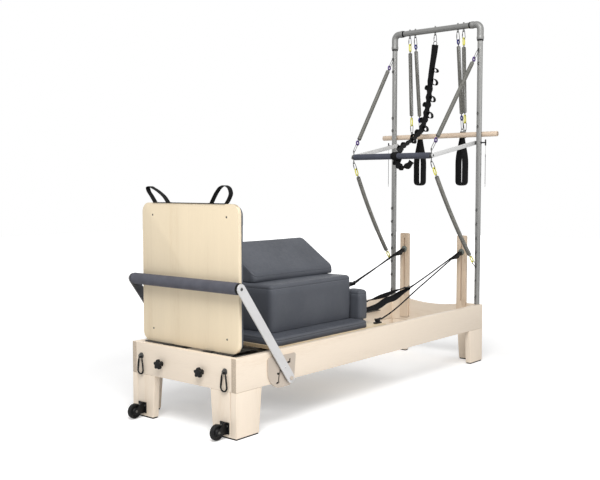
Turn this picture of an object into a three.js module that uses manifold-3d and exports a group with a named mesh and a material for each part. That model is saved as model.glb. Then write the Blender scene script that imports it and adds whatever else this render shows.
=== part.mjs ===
// A wooden pilates reformer with a half tower: rolling carriage on a bed frame, footbar and jump
// board at the foot end, and a steel tower with a push bar, springs, loops and a roll-down bar.
// Millimetres, +Z up. x runs from the outer face of the foot end to the tower end, y from the
// centre plane to the far side, z from the floor. The finished group is moved in x alone, so that
// its origin is the middle of the base of its box.

import * as THREE from 'three';
import * as BufferGeometryUtils from 'three/addons/utils/BufferGeometryUtils.js';
import Module from 'manifold-3d';

const wasm = await Module();
wasm.setup();

// Bed frame of solid maple boards
const frameLength = 2320;
const frameWidth = 720;
const railTop = 373;
const railHeight = 156;
const boardThickness = 30;
const trackWidth = 22;
const trackThickness = 4;
const trackHeight = 36;
const trackDrop = 77;
const trackSetback = 170;
const scoopHalfWidth = 235;
const scoopDepth = 25;

// Legs, each an L of two tapered boards on a rubber pad
const legBoard = 36;
const legSideTop = 171;
const legSideFoot = 151;
const legEndTop = 166;
const legEndFoot = 150;
const padThickness = 7;
const padInset = 3;

// Clearances
const touchGap = 0.3;
const boreClearance = 0.3;
const overrun = 20;
const weld = 1;
const mergeStep = 0.001;

// Castor wheels and their brackets on the foot legs
const castorRadius = 37;
const castorWidth = 24;
const castorLift = 2;
const castorOverhang = 52;
const castorOffset = 287;
const castorAxle = 5;
const castorHubRadius = 14;
const castorPlateWidth = 58;
const castorPlateHeight = 54;
const castorPlateThickness = 4;
const castorPlateHeightAboveFloor = 22;
const castorEarWidth = 30;
const castorEndGap = 0.9;
const castorHeadRadius = 8;
const castorScrewHead = 7.2;
const castorScrewSpread = 19.3;
const castorScrewHeight = 60;

// Hook plates and snap links on the foot end
const hookOffset = 290;
const hookHeight = 308;
const hookPlateRadius = 15;
const hookPlateThickness = 4;
const hookEyeRadius = 10;
const hookEyeWire = 2.6;
const hookEyeFacets = 8;
const linkLength = 92;
const linkWidthTop = 30;
const linkWidthFoot = 44;
const linkWire = 5.5;

// Star knobs that clamp the jump board
const knobOffset = 141;
const knobHeight = 286;
const knobRadius = 25;
const knobLobes = 5;
const knobLobeDepth = 4;
const knobThickness = 20;
const knobStandoff = 14;
const knobHubRadius = 10;
const knobStud = 5;

// Jump board
const jumpFace = 50;
const jumpBoardThickness = 18;
const jumpPadThickness = 24;
const jumpWidth = 664;
const jumpBottom = 378;
const jumpTop = 1066;
const jumpCorner = 46;
const jumpPadInset = 6;
const jumpPadEdge = 12;
const tongueWidth = 50;
const tongueThickness = 6;
const tongueDrop = 120;
const shoeLength = 160;
const shoeThickness = 4.5;
const handleOffset = 196;
const handleSpread = 92;
const handleRise = 84;
const handleLean = 16;
const handleStrapWidth = 26;
const handleStrapThickness = 4;

// Footbar and the plates that it locks in
const pivotX = 359;
const pivotHeight = 229;
const plateThickness = 6;
const plateTop = 345;
const plateFootEdge = 206;
const plateTowerEdge = 408;
const plateTowerFoot = 396;
const plateBottom = 192;
const plateCorner = 12;
const plateFootRadius = 92;
const slotRadius = 76;
const slotHalfWidth = 5;
const slotStart = 82;
const slotEnd = 191;
const notchDepth = 9;
const notchAngles = [86, 128, 158, 188];
const washerThickness = 6;
const washerRadius = 13;
const pivotBolt = 6;
const pivotHeadRadius = 10;
const pivotHeadThickness = 5;
const armThickness = 8;
const armWidth = 48;
const footbarReach = 342;
const footbarRise = 459;
const footbarTube = 16;
const gripRadius = 28;
const gripEndGap = 4;
const studRadius = 4;

// Spring bar and the springs under the carriage
const springBarX = 170;
const springBarThickness = 6;
const springBarHeight = 50;
const springBarBottom = 262;
const bedSpringOffsets = [-165, -70, 70, 165];
const bedSpringHeight = 290;
const bedSpringRadius = 12.5;
const bedSpringEnd = 760;
const bedSpringHook = 34;
const springPegRadius = 4;
const springPegLength = 14;
const springPegHead = 6.4;

// Carriage
const carriageStart = 350;
const carriageEnd = 1292;
const carriageHalfWidth = 304;
const carriageBoard = 19;
const carriageBottom = 351;
const padLength = 762;
const padHeight = 42;
const padHalfWidth = 302;
const padCorner = 34;
const padEdge = 14;
const rollerRadius = 22;
const rollerWidth = 13;
const rollerAxle = 5;
const rollerPlaces = [430, 1210];
const rollerBlockWidth = 26;
const rollerBlockLength = 56;
const anchorWidth = 26;
const anchorHalfLength = 247;
const rollerEndGap = 3;
const restThickness = 78;
const restWidth = 120;
const restHeight = 166;
const restCorner = 24;
const restEdge = 12;
const restPostHeight = 36;
const restOffset = 186;
const restGap = 6;
const restPeg = 6;
const restPegHeight = 52;
const restPegGap = 1.5;
const ropeLoopBig = 30;
const ropeLoopSmall = 8;
const headGap = 12;
const headLength = 162;
const headWidth = 226;
const headHeight = 42;
const headCorner = 30;
const headEdge = 13;
const cleatLength = 58;
const cleatWidth = 26;
const cleatHeight = 30;
const cleatRopeHeight = 22.5;
const cleatOffset = 262;
const cleatX = 1254;

// Sitting box and wedge cushion
const boxStart = 432;
const boxLength = 672;
const boxWidth = 390;
const boxHeight = 243;
const boxCorner = 24;
const boxEdge = 11;
const wedgeStart = 448;
const wedgeLength = 666;
const wedgeNearEdge = -56;
const wedgeDepth = 236;
const wedgeLow = 42;
const wedgeHigh = 204;
const wedgeCorner = 26;
const wedgeEdge = 13;

// Pulley risers at the tower end
const riserOffset = 222;
const riserWidth = 68;
const riserThickness = 22;
const riserTop = 822;
const riserFoot = 240;
const riserCorner = 8;
const riserHousing = 9;
const riserSlotWidth = 8;
const riserSlotFoot = 390;
const riserSlotTop = 788;
const pulleyHeight = 712;
const pulleyReach = 46;
const pulleyDrop = 20;
const pulleyRadius = 16;
const domeRadius = 22;
const domeDepth = 12;
const cheekRadius = 11;
const cheekReach = 40;
const pulleyWidth = 13;
const pulleyAxle = 3.5;
const pulleyAxleHead = 2;
const grooveDepth = 4.5;
const cheekThickness = 2.5;
const cheekGap = 1;
const pulleyNut = 10;
const pulleyNutDepth = 6;

// Tower
const poleSetback = 17;
const poleOffset = 327;
const poleRadius = 17.5;
const towerBarHeight = 2187;
const towerBarRadius = 19;
const elbowRadius = 22;
const elbowBend = 34;
const elbowReach = 67;
const elbowLap = 13;
const elbowDrop = 99;
const lowerEyeHeights = [422, 529, 622, 713, 806, 900, 991, 1530, 1615];
const upperEyeDrops = [154, 68];
const poleHoleHeights = [1221, 1288, 1354];
const poleHoleRadius = 4.8;
const eyeRadius = 6.5;
const eyeWire = 2.1;
const barEyeRadius = 8;
const barEyeWire = 2.4;
const hangerOffset = 206;
const loopOffset = 163;
const strapOffset = 7;

// Push bar on its T pins
const pushPivotHeight = 1427;
const pushReach = 528;
const pushDrop = 95;
const pushArmOffset = 300;
const pushArmThickness = 7;
const pushArmWidth = 27;
const pushTube = 11;
const pushGripRadius = 19;
const pushGripEndGap = 16;
const lugOffset = 290;
const lugSpread = 35;
const lugRadius = 3;
const pushWasherRadius = 11.3;
const pinRadius = 4.5;
const pinHandleStandoff = 30;
const pinHandleLength = 40;
const pinHandleRadius = 4.5;
const pinCollarRadius = 9;
const pinCollarLength = 8;
const safetyCordRadius = 1.5;
const safetyCordLength = 250;

// Springs: a wide flat coil, drawn with few turns
const coilSteps = 8;
const towerSpringRadius = 13;
const towerSpringWall = 3;
const hangerCurls = 4;
const pushCurls = 4;
const plugInside = 7;
const coilGap = 1.6;
const plugLength = 14;
const plugTaper = 8.4;
const springLinkLength = 44;
const springLinkWidth = 18;
const springLinkWire = 2;
const hangerCoilTop = 108;
const hangerCoilFoot = 141.8;
const loopCoilFoot = 132.9;
const upperCoilTop = 124;
const upperCoilFoot = 113.1;
const lowerCoilTop = 110;
const lowerCoilFoot = 109.5;
const lowerSag = 25;
const upperEyeIndex = 10;
const lowerEyeIndex = 2;

// Roll-down bar and hand loops behind the poles
const rollBarRadius = 17;
const rollBarLength = 884;
const rollBarHeight = 1483;
const loopHeight = 352;
const loopWidth = 70;
const loopBand = 44;
const loopThickness = 7;
const loopTopHeight = 1502;
const loopRingRadius = 13;
const loopRingWire = 2.5;
const loopRingFacets = 10;
const loopTopHalf = 9.8;
const loopTaperLength = 193.6;

// Long strap with loops, from the top bar to the push bar
const strapWidth = 38;
const strapThickness = 5;
const strapTurn = 24;
const strapHookWidth = 24;
const strapWrapGap = 1.8;
const strapWrapLean = 8;
const strapSteps = 30;
// Places on the strap's way: the share of the push bar's reach, of the strap's width, and of the
// height from the push bar to the top bar's eye
const strapRouteShares = [
  [1, 0.18421, 0.91425], [1, 0.34211, 0.85507], [1, 0.73684, 0.74638], [0.99621, 1, 0.64855],
  [0.98106, 1.07895, 0.55314], [0.95455, 1.05263, 0.4686], [0.91856, 1, 0.40097],
  [0.86553, 0.92105, 0.32367], [0.80492, 0.78947, 0.2657], [0.69129, 0.52632, 0.20411],
  [0.50189, 0.31579, 0.14251], [0.29356, 0, 0.09179], [0.14205, -0.47368, 0.05556],
  [0.04735, -1.05263, 0.0314],
];

// Traction ropes and their loops
const ropeRadius = 3.5;
const ropeLeaves = -88;
const ropeReturns = 108;
const ropeOutletReach = 84;
const ropeOutletHeight = 677;
const ropeOutletGap = 9.2;
const ropeGap = 1.2;
const ropeSleeveRadius = 10;
const ropeSleeveLength = 30;
const ropeRingReach = 481;
const ropeRingOffset = 205;
const ropeRingHeight = 529;
const ropeLoopWidth = 38;
const ropeLoopThickness = 4;

// Values that follow from those above
const halfWidth = frameWidth / 2;
const railInside = halfWidth - boardThickness;
const railBottom = railTop - railHeight;
const trackTop = railTop - trackDrop;
const poleX = frameLength - poleSetback;
const poleTop = towerBarHeight - elbowDrop;
const poleEyeHeights = [...lowerEyeHeights, ...upperEyeDrops.map((drop) => poleTop - drop)];
const sides = [-1, 1];

const material = (color, roughness, metalness = 0) =>
  new THREE.MeshStandardMaterial({ color, roughness, metalness });

const finishes = {
  maple: material(0xeee0cd, 0.55),
  ply: material(0xe8d7b6, 0.5),
  riserWood: material(0xd6c0a8, 0.55),
  barWood: material(0xdec8b2, 0.5),
  vinyl: material(0x5f646c, 0.6),
  foam: material(0x52545c, 0.9),
  silver: material(0xdedede, 0.35, 0.8),
  plateSteel: material(0xcdc0b2, 0.4, 0.6),
  tube: material(0xaaaaa8, 0.35, 0.8),
  spring: material(0x82807a, 0.35, 0.9),
  darkSteel: material(0x2a2a2c, 0.45, 0.6),
  blackPlastic: material(0x18181a, 0.5),
  webbing: material(0x161618, 0.95),
  rope: material(0x1c1c1e, 0.9),
};

const group = new THREE.Group();

function add(name, geometry, finish) {
  const mesh = new THREE.Mesh(geometry, finish);
  mesh.name = name;
  group.add(mesh);
  return mesh;
}

// Boolean helpers

function solidOf(geometry) {
  const plain = geometry.clone();
  plain.deleteAttribute('normal');
  plain.deleteAttribute('uv');
  const merged = BufferGeometryUtils.mergeVertices(plain, mergeStep);
  return new wasm.Manifold(new wasm.Mesh({
    numProp: 3,
    vertProperties: new Float32Array(merged.attributes.position.array),
    triVerts: new Uint32Array(merged.index.array),
  }));
}

function geometryOf(solid) {
  const mesh = solid.getMesh();
  const geometry = new THREE.BufferGeometry();
  geometry.setAttribute('position', new THREE.BufferAttribute(mesh.vertProperties, 3));
  geometry.setIndex(new THREE.BufferAttribute(mesh.triVerts, 1));
  geometry.computeVertexNormals();
  return geometry;
}

function join(...pieces) {
  return geometryOf(pieces.map(solidOf).reduce((whole, piece) => whole.add(piece)));
}

function cut(geometry, ...tools) {
  const start = solidOf(geometry);
  return geometryOf(tools.map(solidOf).reduce((whole, tool) => whole.subtract(tool), start));
}

// Shape helpers

function block(x0, x1, y0, y1, z0, z1) {
  const geometry = new THREE.BoxGeometry(Math.abs(x1 - x0), Math.abs(y1 - y0), Math.abs(z1 - z0));
  return geometry.translate((x0 + x1) / 2, (y0 + y1) / 2, (z0 + z1) / 2);
}

const axisTurns = {
  x: new THREE.Matrix4().makeRotationZ(-Math.PI / 2),
  y: new THREE.Matrix4(),
  z: new THREE.Matrix4().makeRotationX(Math.PI / 2),
};

// A rod along an axis between two values of that axis, through the point given
function rod(axis, radius, from, to, point, facets = 12) {
  const geometry = new THREE.CylinderGeometry(radius, radius, Math.abs(to - from), facets);
  geometry.applyMatrix4(axisTurns[axis]);
  const centre = point.clone();
  centre[axis] = (from + to) / 2;
  return geometry.translate(centre.x, centre.y, centre.z);
}

function rodBetween(a, b, radius, facets = 12) {
  const along = b.clone().sub(a);
  const geometry = new THREE.CylinderGeometry(radius, radius, along.length(), facets);
  const turn = new THREE.Quaternion().setFromUnitVectors(new THREE.Vector3(0, 1, 0), along.normalize());
  geometry.applyQuaternion(turn);
  const middle = a.clone().add(b).multiplyScalar(0.5);
  return geometry.translate(middle.x, middle.y, middle.z);
}

// A ring round a point. The normal is the axis that the ring faces
function ring(axis, radius, wire, point, facets = 6, wireFacets = 4) {
  const geometry = new THREE.TorusGeometry(radius, wire, wireFacets, facets);
  if (axis === 'x') geometry.rotateY(Math.PI / 2);
  if (axis === 'y') geometry.rotateX(Math.PI / 2);
  return geometry.translate(point.x, point.y, point.z);
}

// A shape drawn in x and z, pushed out along y from y0 to y1
function plateXZ(shape, y0, y1, curveSegments = 12) {
  const geometry = new THREE.ExtrudeGeometry(shape, {
    depth: y1 - y0, bevelEnabled: false, curveSegments,
  });
  return geometry.rotateX(Math.PI / 2).translate(0, y1, 0);
}

const turnYZ = new THREE.Matrix4().makeBasis(
  new THREE.Vector3(0, 1, 0), new THREE.Vector3(0, 0, 1), new THREE.Vector3(1, 0, 0));

// A shape drawn in y and z, pushed out along x from x0 to x1
function plateYZ(shape, x0, x1, curveSegments = 12) {
  const geometry = new THREE.ExtrudeGeometry(shape, {
    depth: x1 - x0, bevelEnabled: false, curveSegments,
  });
  return geometry.applyMatrix4(turnYZ).translate(x0, 0, 0);
}

function roundedRect(x0, x1, y0, y1, radius) {
  const shape = new THREE.Shape();
  shape.moveTo(x0 + radius, y0);
  shape.lineTo(x1 - radius, y0);
  shape.absarc(x1 - radius, y0 + radius, radius, -Math.PI / 2, 0);
  shape.lineTo(x1, y1 - radius);
  shape.absarc(x1 - radius, y1 - radius, radius, 0, Math.PI / 2);
  shape.lineTo(x0 + radius, y1);
  shape.absarc(x0 + radius, y1 - radius, radius, Math.PI / 2, Math.PI);
  shape.lineTo(x0, y0 + radius);
  shape.absarc(x0 + radius, y0 + radius, radius, Math.PI, Math.PI * 1.5);
  return shape;
}

// A section of a few sides carried along a curve
function sweep(curve, section, steps) {
  return new THREE.ExtrudeGeometry(section, { steps, bevelEnabled: false, extrudePath: curve });
}

function polygon(radius, count) {
  const shape = new THREE.Shape();
  for (let i = 0; i < count; i += 1) {
    const angle = (i / count) * Math.PI * 2;
    const point = [radius * Math.cos(angle), radius * Math.sin(angle)];
    if (i === 0) shape.moveTo(...point);
    else shape.lineTo(...point);
  }
  return shape;
}

// The same geometry on the other side of the centre plane, with its faces turned to point outwards
function mirrored(geometry) {
  const copy = geometry.index ? geometry.toNonIndexed() : geometry.clone();
  copy.scale(1, -1, 1);
  const corners = copy.attributes.position;
  for (let i = 0; i < corners.count; i += 3) {
    const a = new THREE.Vector3().fromBufferAttribute(corners, i);
    const b = new THREE.Vector3().fromBufferAttribute(corners, i + 1);
    corners.setXYZ(i, b.x, b.y, b.z);
    corners.setXYZ(i + 1, a.x, a.y, a.z);
  }
  copy.deleteAttribute('normal');
  copy.deleteAttribute('uv');
  const merged = BufferGeometryUtils.mergeVertices(copy, mergeStep);
  merged.computeVertexNormals();
  return merged;
}

// A pair of like nodes, made once on the near side
function addPair(name, nearGeometry, finish) {
  add(`${name}_near`, nearGeometry, finish);
  add(`${name}_far`, mirrored(nearGeometry), finish);
}

// Cushions: rings of a rounded rectangle that draw in at the base, swell at the middle of the
// side, and crown over the top. Each ring is [inset share, height share] of the edge and height.
const cushionRingShares = [
  [0.9, 0], [0.1, 0.2], [0.15, 0.5], [0, 0.7], [0.3, 0.88], [1.1, 0.96], [2.8, 0.985],
];
const cushionArc = 2;

function cushion(length, width, height, corner, edge, shares = cushionRingShares) {
  const outline = (inset) => {
    const shape = roundedRect(
      -length / 2 + inset, length / 2 - inset, -width / 2 + inset, width / 2 - inset,
      Math.max(corner - inset, corner / 3));
    return shape.extractPoints(cushionArc).shape;
  };
  const positions = [];
  const indices = [];
  const rings = shares.map(([insetShare, heightShare]) => {
    const points = outline(insetShare * edge);
    points.forEach((p) => positions.push(p.x, p.y, heightShare * height));
    return points.length;
  });
  const count = rings[0];
  for (let r = 0; r + 1 < shares.length; r += 1) {
    for (let i = 0; i < count; i += 1) {
      const a = r * count + i;
      const b = r * count + ((i + 1) % count);
      indices.push(a, b, b + count, a, b + count, a + count);
    }
  }
  const bottom = positions.length / 3;
  positions.push(0, 0, 0);
  const top = bottom + 1;
  positions.push(0, 0, height);
  const last = (shares.length - 1) * count;
  for (let i = 0; i < count; i += 1) {
    const next = (i + 1) % count;
    indices.push(bottom, next, i);
    indices.push(top, last + i, last + next);
  }
  const geometry = new THREE.BufferGeometry();
  geometry.setAttribute('position', new THREE.Float32BufferAttribute(positions, 3));
  geometry.setIndex(indices);
  return BufferGeometryUtils.mergeVertices(geometry, mergeStep);
}

// Bed frame

function sideRailNear() {
  const board = block(0, frameLength, -halfWidth, -railInside, railBottom, railTop);
  const start = boardThickness + trackSetback;
  const end = frameLength - boardThickness - trackSetback;
  const flange = block(start, end, -railInside - trackThickness, -railInside + trackThickness,
    trackTop - trackThickness, trackTop + trackHeight - trackThickness);
  const ledge = block(start, end, -railInside - trackThickness, -railInside + trackWidth,
    trackTop - trackThickness, trackTop);
  return join(board, flange, ledge);
}

function footEndRail() {
  const board = block(0, boardThickness, -railInside, railInside, railBottom, railTop);
  const holes = sides.map((side) => rod('x', knobStud + boreClearance, -overrun,
    boardThickness + overrun, new THREE.Vector3(0, side * knobOffset, knobHeight)));
  const rail = cut(board, ...holes);
  const hooks = sides.flatMap((side) => {
    const centre = new THREE.Vector3(0, side * hookOffset, hookHeight);
    const plate = rod('x', hookPlateRadius, -hookPlateThickness, boardThickness / 2, centre);
    const eyeCentre = new THREE.Vector3(
      -hookPlateThickness - hookEyeRadius / 2, side * hookOffset, hookHeight);
    return [plate, ring('y', hookEyeRadius, hookEyeWire, eyeCentre, hookEyeFacets)];
  });
  return join(rail, ...hooks);
}

function towerEndBoard() {
  const shape = new THREE.Shape();
  shape.moveTo(-railInside, railBottom);
  shape.lineTo(railInside, railBottom);
  shape.lineTo(railInside, railTop);
  const scoopSteps = 16;
  for (let i = 0; i <= scoopSteps; i += 1) {
    const across = 1 - (2 * i) / scoopSteps;
    const dip = scoopDepth * (1 - across * across);
    shape.lineTo(across * scoopHalfWidth, railTop - dip);
  }
  shape.lineTo(-railInside, railTop);
  const inner = frameLength - boardThickness;
  const board = plateYZ(shape, inner, frameLength);
  const housings = sides.map((side) => block(
    inner - overrun, inner + riserHousing,
    side * riserOffset - riserWidth / 2 - touchGap, side * riserOffset + riserWidth / 2 + touchGap,
    riserFoot - touchGap, railTop + overrun));
  return cut(board, ...housings);
}

// The L of a leg at the near foot corner, from the outer corner inwards
function legOutline(sideLength, endLength, inset) {
  const shape = new THREE.Shape();
  shape.moveTo(inset, inset);
  shape.lineTo(sideLength - inset, inset);
  shape.lineTo(sideLength - inset, legBoard - inset);
  shape.lineTo(legBoard - inset, legBoard - inset);
  shape.lineTo(legBoard - inset, endLength - inset);
  shape.lineTo(inset, endLength - inset);
  return shape;
}

function legNearFoot() {
  const wood = new THREE.ExtrudeGeometry(legOutline(legSideTop, legEndTop, 0), {
    depth: railBottom - padThickness, bevelEnabled: false,
  });
  const corners = wood.attributes.position;
  for (let i = 0; i < corners.count; i += 1) {
    if (corners.getZ(i) < weld) {
      if (corners.getX(i) > legBoard + weld) corners.setX(i, legSideFoot);
      if (corners.getY(i) > legBoard + weld) corners.setY(i, legEndFoot);
    }
  }
  wood.translate(0, 0, padThickness);
  const pad = new THREE.ExtrudeGeometry(legOutline(legSideFoot, legEndFoot, padInset), {
    depth: padThickness + weld, bevelEnabled: false,
  });
  return join(wood, pad).translate(0, -halfWidth, 0);
}

// The same geometry at the tower end, turned half round about the middle of the frame
function atTowerEnd(geometry) {
  return geometry.clone().translate(-frameLength / 2, 0, 0).rotateZ(Math.PI)
    .translate(frameLength / 2, 0, 0);
}

// Castors

const castorAxis = new THREE.Vector3(-castorOverhang, 0, castorRadius + castorLift);

function castorBracket(offset) {
  const plate = block(-castorPlateThickness, legBoard / 2, offset - castorPlateWidth / 2,
    offset + castorPlateWidth / 2, castorPlateHeightAboveFloor,
    castorPlateHeightAboveFloor + castorPlateHeight);
  const earOuter = offset - castorWidth / 2 - castorPlateThickness - castorEndGap;
  const ear = new THREE.Shape();
  ear.moveTo(0, castorPlateHeightAboveFloor);
  ear.lineTo(0, castorPlateHeightAboveFloor + castorPlateHeight);
  ear.lineTo(-castorOverhang / 2, castorPlateHeightAboveFloor + castorPlateHeight);
  ear.absarc(castorAxis.x, castorAxis.z, castorEarWidth / 2, Math.PI / 2, Math.PI * 1.5);
  ear.lineTo(-castorOverhang / 2, castorPlateHeightAboveFloor);
  const cheek = plateXZ(ear, earOuter, earOuter + castorPlateThickness, 6);
  const centre = new THREE.Vector3(castorAxis.x, offset, castorAxis.z);
  const axle = rod('y', castorAxle, earOuter, offset + castorWidth / 2 + castorPlateThickness, centre);
  const head = rod('y', castorHeadRadius, offset + castorWidth / 2 + castorEndGap,
    offset + castorWidth / 2 + castorPlateThickness, centre, 6);
  const screws = sides.map((side) => rod('x', castorAxle, -castorScrewHead, 0,
    new THREE.Vector3(0, offset + side * castorScrewSpread, castorScrewHeight), 6));
  return [plate, cheek, axle, head, ...screws];
}

function castorWheel(offset) {
  const half = castorWidth / 2;
  const bore = castorAxle + boreClearance;
  const hub = castorHubRadius / castorRadius;
  const halfShares = [[hub, 1], [hub * 1.25, 0.55], [0.7, 0.55], [0.78, 0.9], [1, 0.45]];
  const wheelSide = (way) => halfShares.map(([r, y]) => [r * castorRadius, y * half * way]);
  const profile = [
    [bore, -half], ...wheelSide(-1), ...wheelSide(1).reverse(), [bore, half], [bore, -half],
  ].map(([r, y]) => new THREE.Vector2(r, y));
  return new THREE.LatheGeometry(profile, 12).translate(castorAxis.x, offset, castorAxis.z);
}

// Snap link: a pear-shaped ring of wire that hangs in the hook plate's eye
function snapLinkNear() {
  const eyeReach = hookEyeRadius * Math.cos(Math.PI / hookEyeFacets) - hookEyeWire;
  const top = hookHeight - eyeReach + linkWire / 2 + touchGap;
  const x = -hookPlateThickness - hookEyeRadius / 2;
  const half = linkWidthTop / 2 - linkWire / 2;
  const halfFoot = linkWidthFoot / 2 - linkWire / 2;
  const points = [];
  const topArc = 4;
  const footArc = 6;
  for (let i = 0; i <= topArc; i += 1) {
    const angle = Math.PI * (i / topArc);
    points.push(new THREE.Vector3(x, half * Math.cos(angle), top - half + half * Math.sin(angle)));
  }
  const footCentre = top - linkLength + halfFoot + linkWire;
  for (let i = 0; i <= footArc; i += 1) {
    const angle = Math.PI + Math.PI * (i / footArc);
    points.push(new THREE.Vector3(x, halfFoot * Math.cos(angle),
      footCentre + halfFoot * Math.sin(angle)));
  }
  return closedWire(points, linkWire / 2, 6).translate(0, -hookOffset, 0);
}

// A closed loop of wire, mitred at each of its points, which lie in one plane of constant x
function closedWire(points, radius, facets) {
  const positions = [];
  const indices = [];
  const count = points.length;
  const normal = new THREE.Vector3(1, 0, 0);
  points.forEach((point, i) => {
    const before = points[(i + count - 1) % count];
    const after = points[(i + 1) % count];
    const along = after.clone().sub(before).normalize();
    const mitre = along.dot(after.clone().sub(point).normalize());
    const side = along.clone().cross(normal).divideScalar(mitre);
    for (let k = 0; k < facets; k += 1) {
      const angle = (k / facets) * Math.PI * 2;
      const p = point.clone().addScaledVector(normal, radius * Math.cos(angle))
        .addScaledVector(side, radius * Math.sin(angle));
      positions.push(p.x, p.y, p.z);
    }
  });
  for (let i = 0; i < count; i += 1) {
    const j = (i + 1) % count;
    for (let k = 0; k < facets; k += 1) {
      const m = (k + 1) % facets;
      indices.push(i * facets + k, i * facets + m, j * facets + m);
      indices.push(i * facets + k, j * facets + m, j * facets + k);
    }
  }
  const geometry = new THREE.BufferGeometry();
  geometry.setAttribute('position', new THREE.Float32BufferAttribute(positions, 3));
  geometry.setIndex(indices);
  geometry.computeVertexNormals();
  return geometry;
}

function starKnobNear() {
  const shape = new THREE.Shape();
  const steps = knobLobes * 4;
  for (let i = 0; i < steps; i += 1) {
    const angle = (i / steps) * Math.PI * 2;
    const radius = knobRadius - knobLobeDepth + knobLobeDepth * Math.cos(angle * knobLobes);
    const point = [radius * Math.sin(angle), radius * Math.cos(angle)];
    if (i === 0) shape.moveTo(...point);
    else shape.lineTo(...point);
  }
  const face = -knobStandoff - knobThickness;
  const head = plateYZ(shape, face, -knobStandoff);
  const centre = new THREE.Vector3();
  const hub = rod('x', knobHubRadius, -knobStandoff - knobThickness / 2, -touchGap, centre, 12);
  const stud = rod('x', knobStud, -knobStandoff, boardThickness, centre, 12);
  return join(head, hub, stud).translate(0, -knobOffset, knobHeight);
}

// Jump board

function jumpBoardPanel() {
  const shape = roundedRect(-jumpWidth / 2, jumpWidth / 2, jumpBottom, jumpTop, jumpCorner);
  const board = plateYZ(shape, jumpFace, jumpFace + jumpBoardThickness, 4);
  const tongues = sides.flatMap((side) => {
    const centre = side * knobOffset;
    const back = boardThickness + touchGap;
    const shoeTop = jumpBottom + weld;
    const shoeFoot = jumpBottom - shoeThickness + touchGap;
    const reach = jumpFace + jumpBoardThickness;
    const tongue = block(back, back + tongueThickness, centre - tongueWidth / 2,
      centre + tongueWidth / 2, railTop - tongueDrop, shoeTop);
    const shoe = block(back, reach, centre - tongueWidth / 2 + side * shoeLength / 4,
      centre + side * shoeLength, shoeFoot, shoeTop);
    const bridge = block(back, reach, centre - tongueWidth / 2, centre + tongueWidth / 2,
      shoeFoot, shoeTop);
    return [tongue, shoe, bridge];
  });
  return join(board, ...tongues);
}

function jumpBoardPad() {
  const length = jumpTop - jumpBottom - jumpPadInset * 2;
  const width = jumpWidth - jumpPadInset * 2;
  const shares = [[0.7, 0], [0.15, 0.16], [0, 0.5], [0.12, 0.78], [0.7, 0.94], [2.2, 0.985]];
  const pad = cushion(length, width, jumpPadThickness, jumpCorner, jumpPadEdge, shares);
  pad.rotateY(Math.PI / 2);
  return pad.translate(jumpFace + jumpBoardThickness + touchGap, 0, (jumpTop + jumpBottom) / 2);
}

// Two webbing handles on one strap that is stapled along the top edge of the board
function jumpBoardHandles() {
  const x = jumpFace + jumpBoardThickness / 2;
  const top = jumpTop + handleStrapThickness / 2 + touchGap;
  const strip = block(x - handleStrapWidth / 2, x + handleStrapWidth / 2,
    -handleOffset - handleSpread / 2, handleOffset + handleSpread / 2,
    top - handleStrapThickness / 2, top + handleStrapThickness / 2);
  const arches = sides.map((side) => {
    const points = [];
    const steps = 10;
    for (let i = 0; i <= steps; i += 1) {
      const angle = Math.PI * (i / steps);
      const lean = Math.sin(angle) * handleLean * side;
      points.push(new THREE.Vector3(x, side * handleOffset + lean + (handleSpread / 2) * Math.cos(angle),
        top + (handleRise - handleStrapThickness) * Math.sin(angle)));
    }
    const curve = new THREE.CatmullRomCurve3(points);
    return ribbon(curve, new THREE.Vector3(1, 0, 0), handleStrapWidth, handleStrapThickness, steps);
  });
  return join(strip, ...arches);
}

// Turns every face round if the mesh is inside out
function outwards(geometry) {
  const corners = geometry.attributes.position;
  const index = geometry.index.array;
  let volume = 0;
  const a = new THREE.Vector3();
  const b = new THREE.Vector3();
  const c = new THREE.Vector3();
  for (let i = 0; i < index.length; i += 3) {
    a.fromBufferAttribute(corners, index[i]);
    b.fromBufferAttribute(corners, index[i + 1]);
    c.fromBufferAttribute(corners, index[i + 2]);
    volume += a.dot(b.cross(c));
  }
  if (volume < 0) {
    for (let i = 0; i < index.length; i += 3) {
      const first = index[i];
      index[i] = index[i + 1];
      index[i + 1] = first;
    }
  }
  geometry.computeVertexNormals();
  return geometry;
}

// Footbar

const pivot = new THREE.Vector3(pivotX, 0, pivotHeight);
const gripCentre = new THREE.Vector3(pivotX - footbarReach, 0, pivotHeight + footbarRise);
const armInner = halfWidth + plateThickness + washerThickness;
const armOuter = armInner + armThickness;
const footbarAngle = Math.atan2(footbarRise, -footbarReach);

function onSlot(degrees, radius) {
  const angle = THREE.MathUtils.degToRad(degrees);
  return [pivotX + radius * Math.cos(angle), pivotHeight + radius * Math.sin(angle)];
}

// The slot for the footbar's stud: an arc about the pivot with a notch at each locking place
function lockSlot() {
  const shape = new THREE.Path();
  const steps = 10;
  const outer = [];
  const inner = [];
  for (let i = 0; i <= steps; i += 1) {
    const degrees = slotStart + ((slotEnd - slotStart) * i) / steps;
    outer.push(onSlot(degrees, slotRadius + slotHalfWidth));
    inner.push(onSlot(degrees, slotRadius - slotHalfWidth));
  }
  const points = [...outer, ...inner.reverse()];
  shape.moveTo(...points[0]);
  points.slice(1).forEach((point) => shape.lineTo(...point));
  shape.closePath();
  return shape;
}

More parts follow.
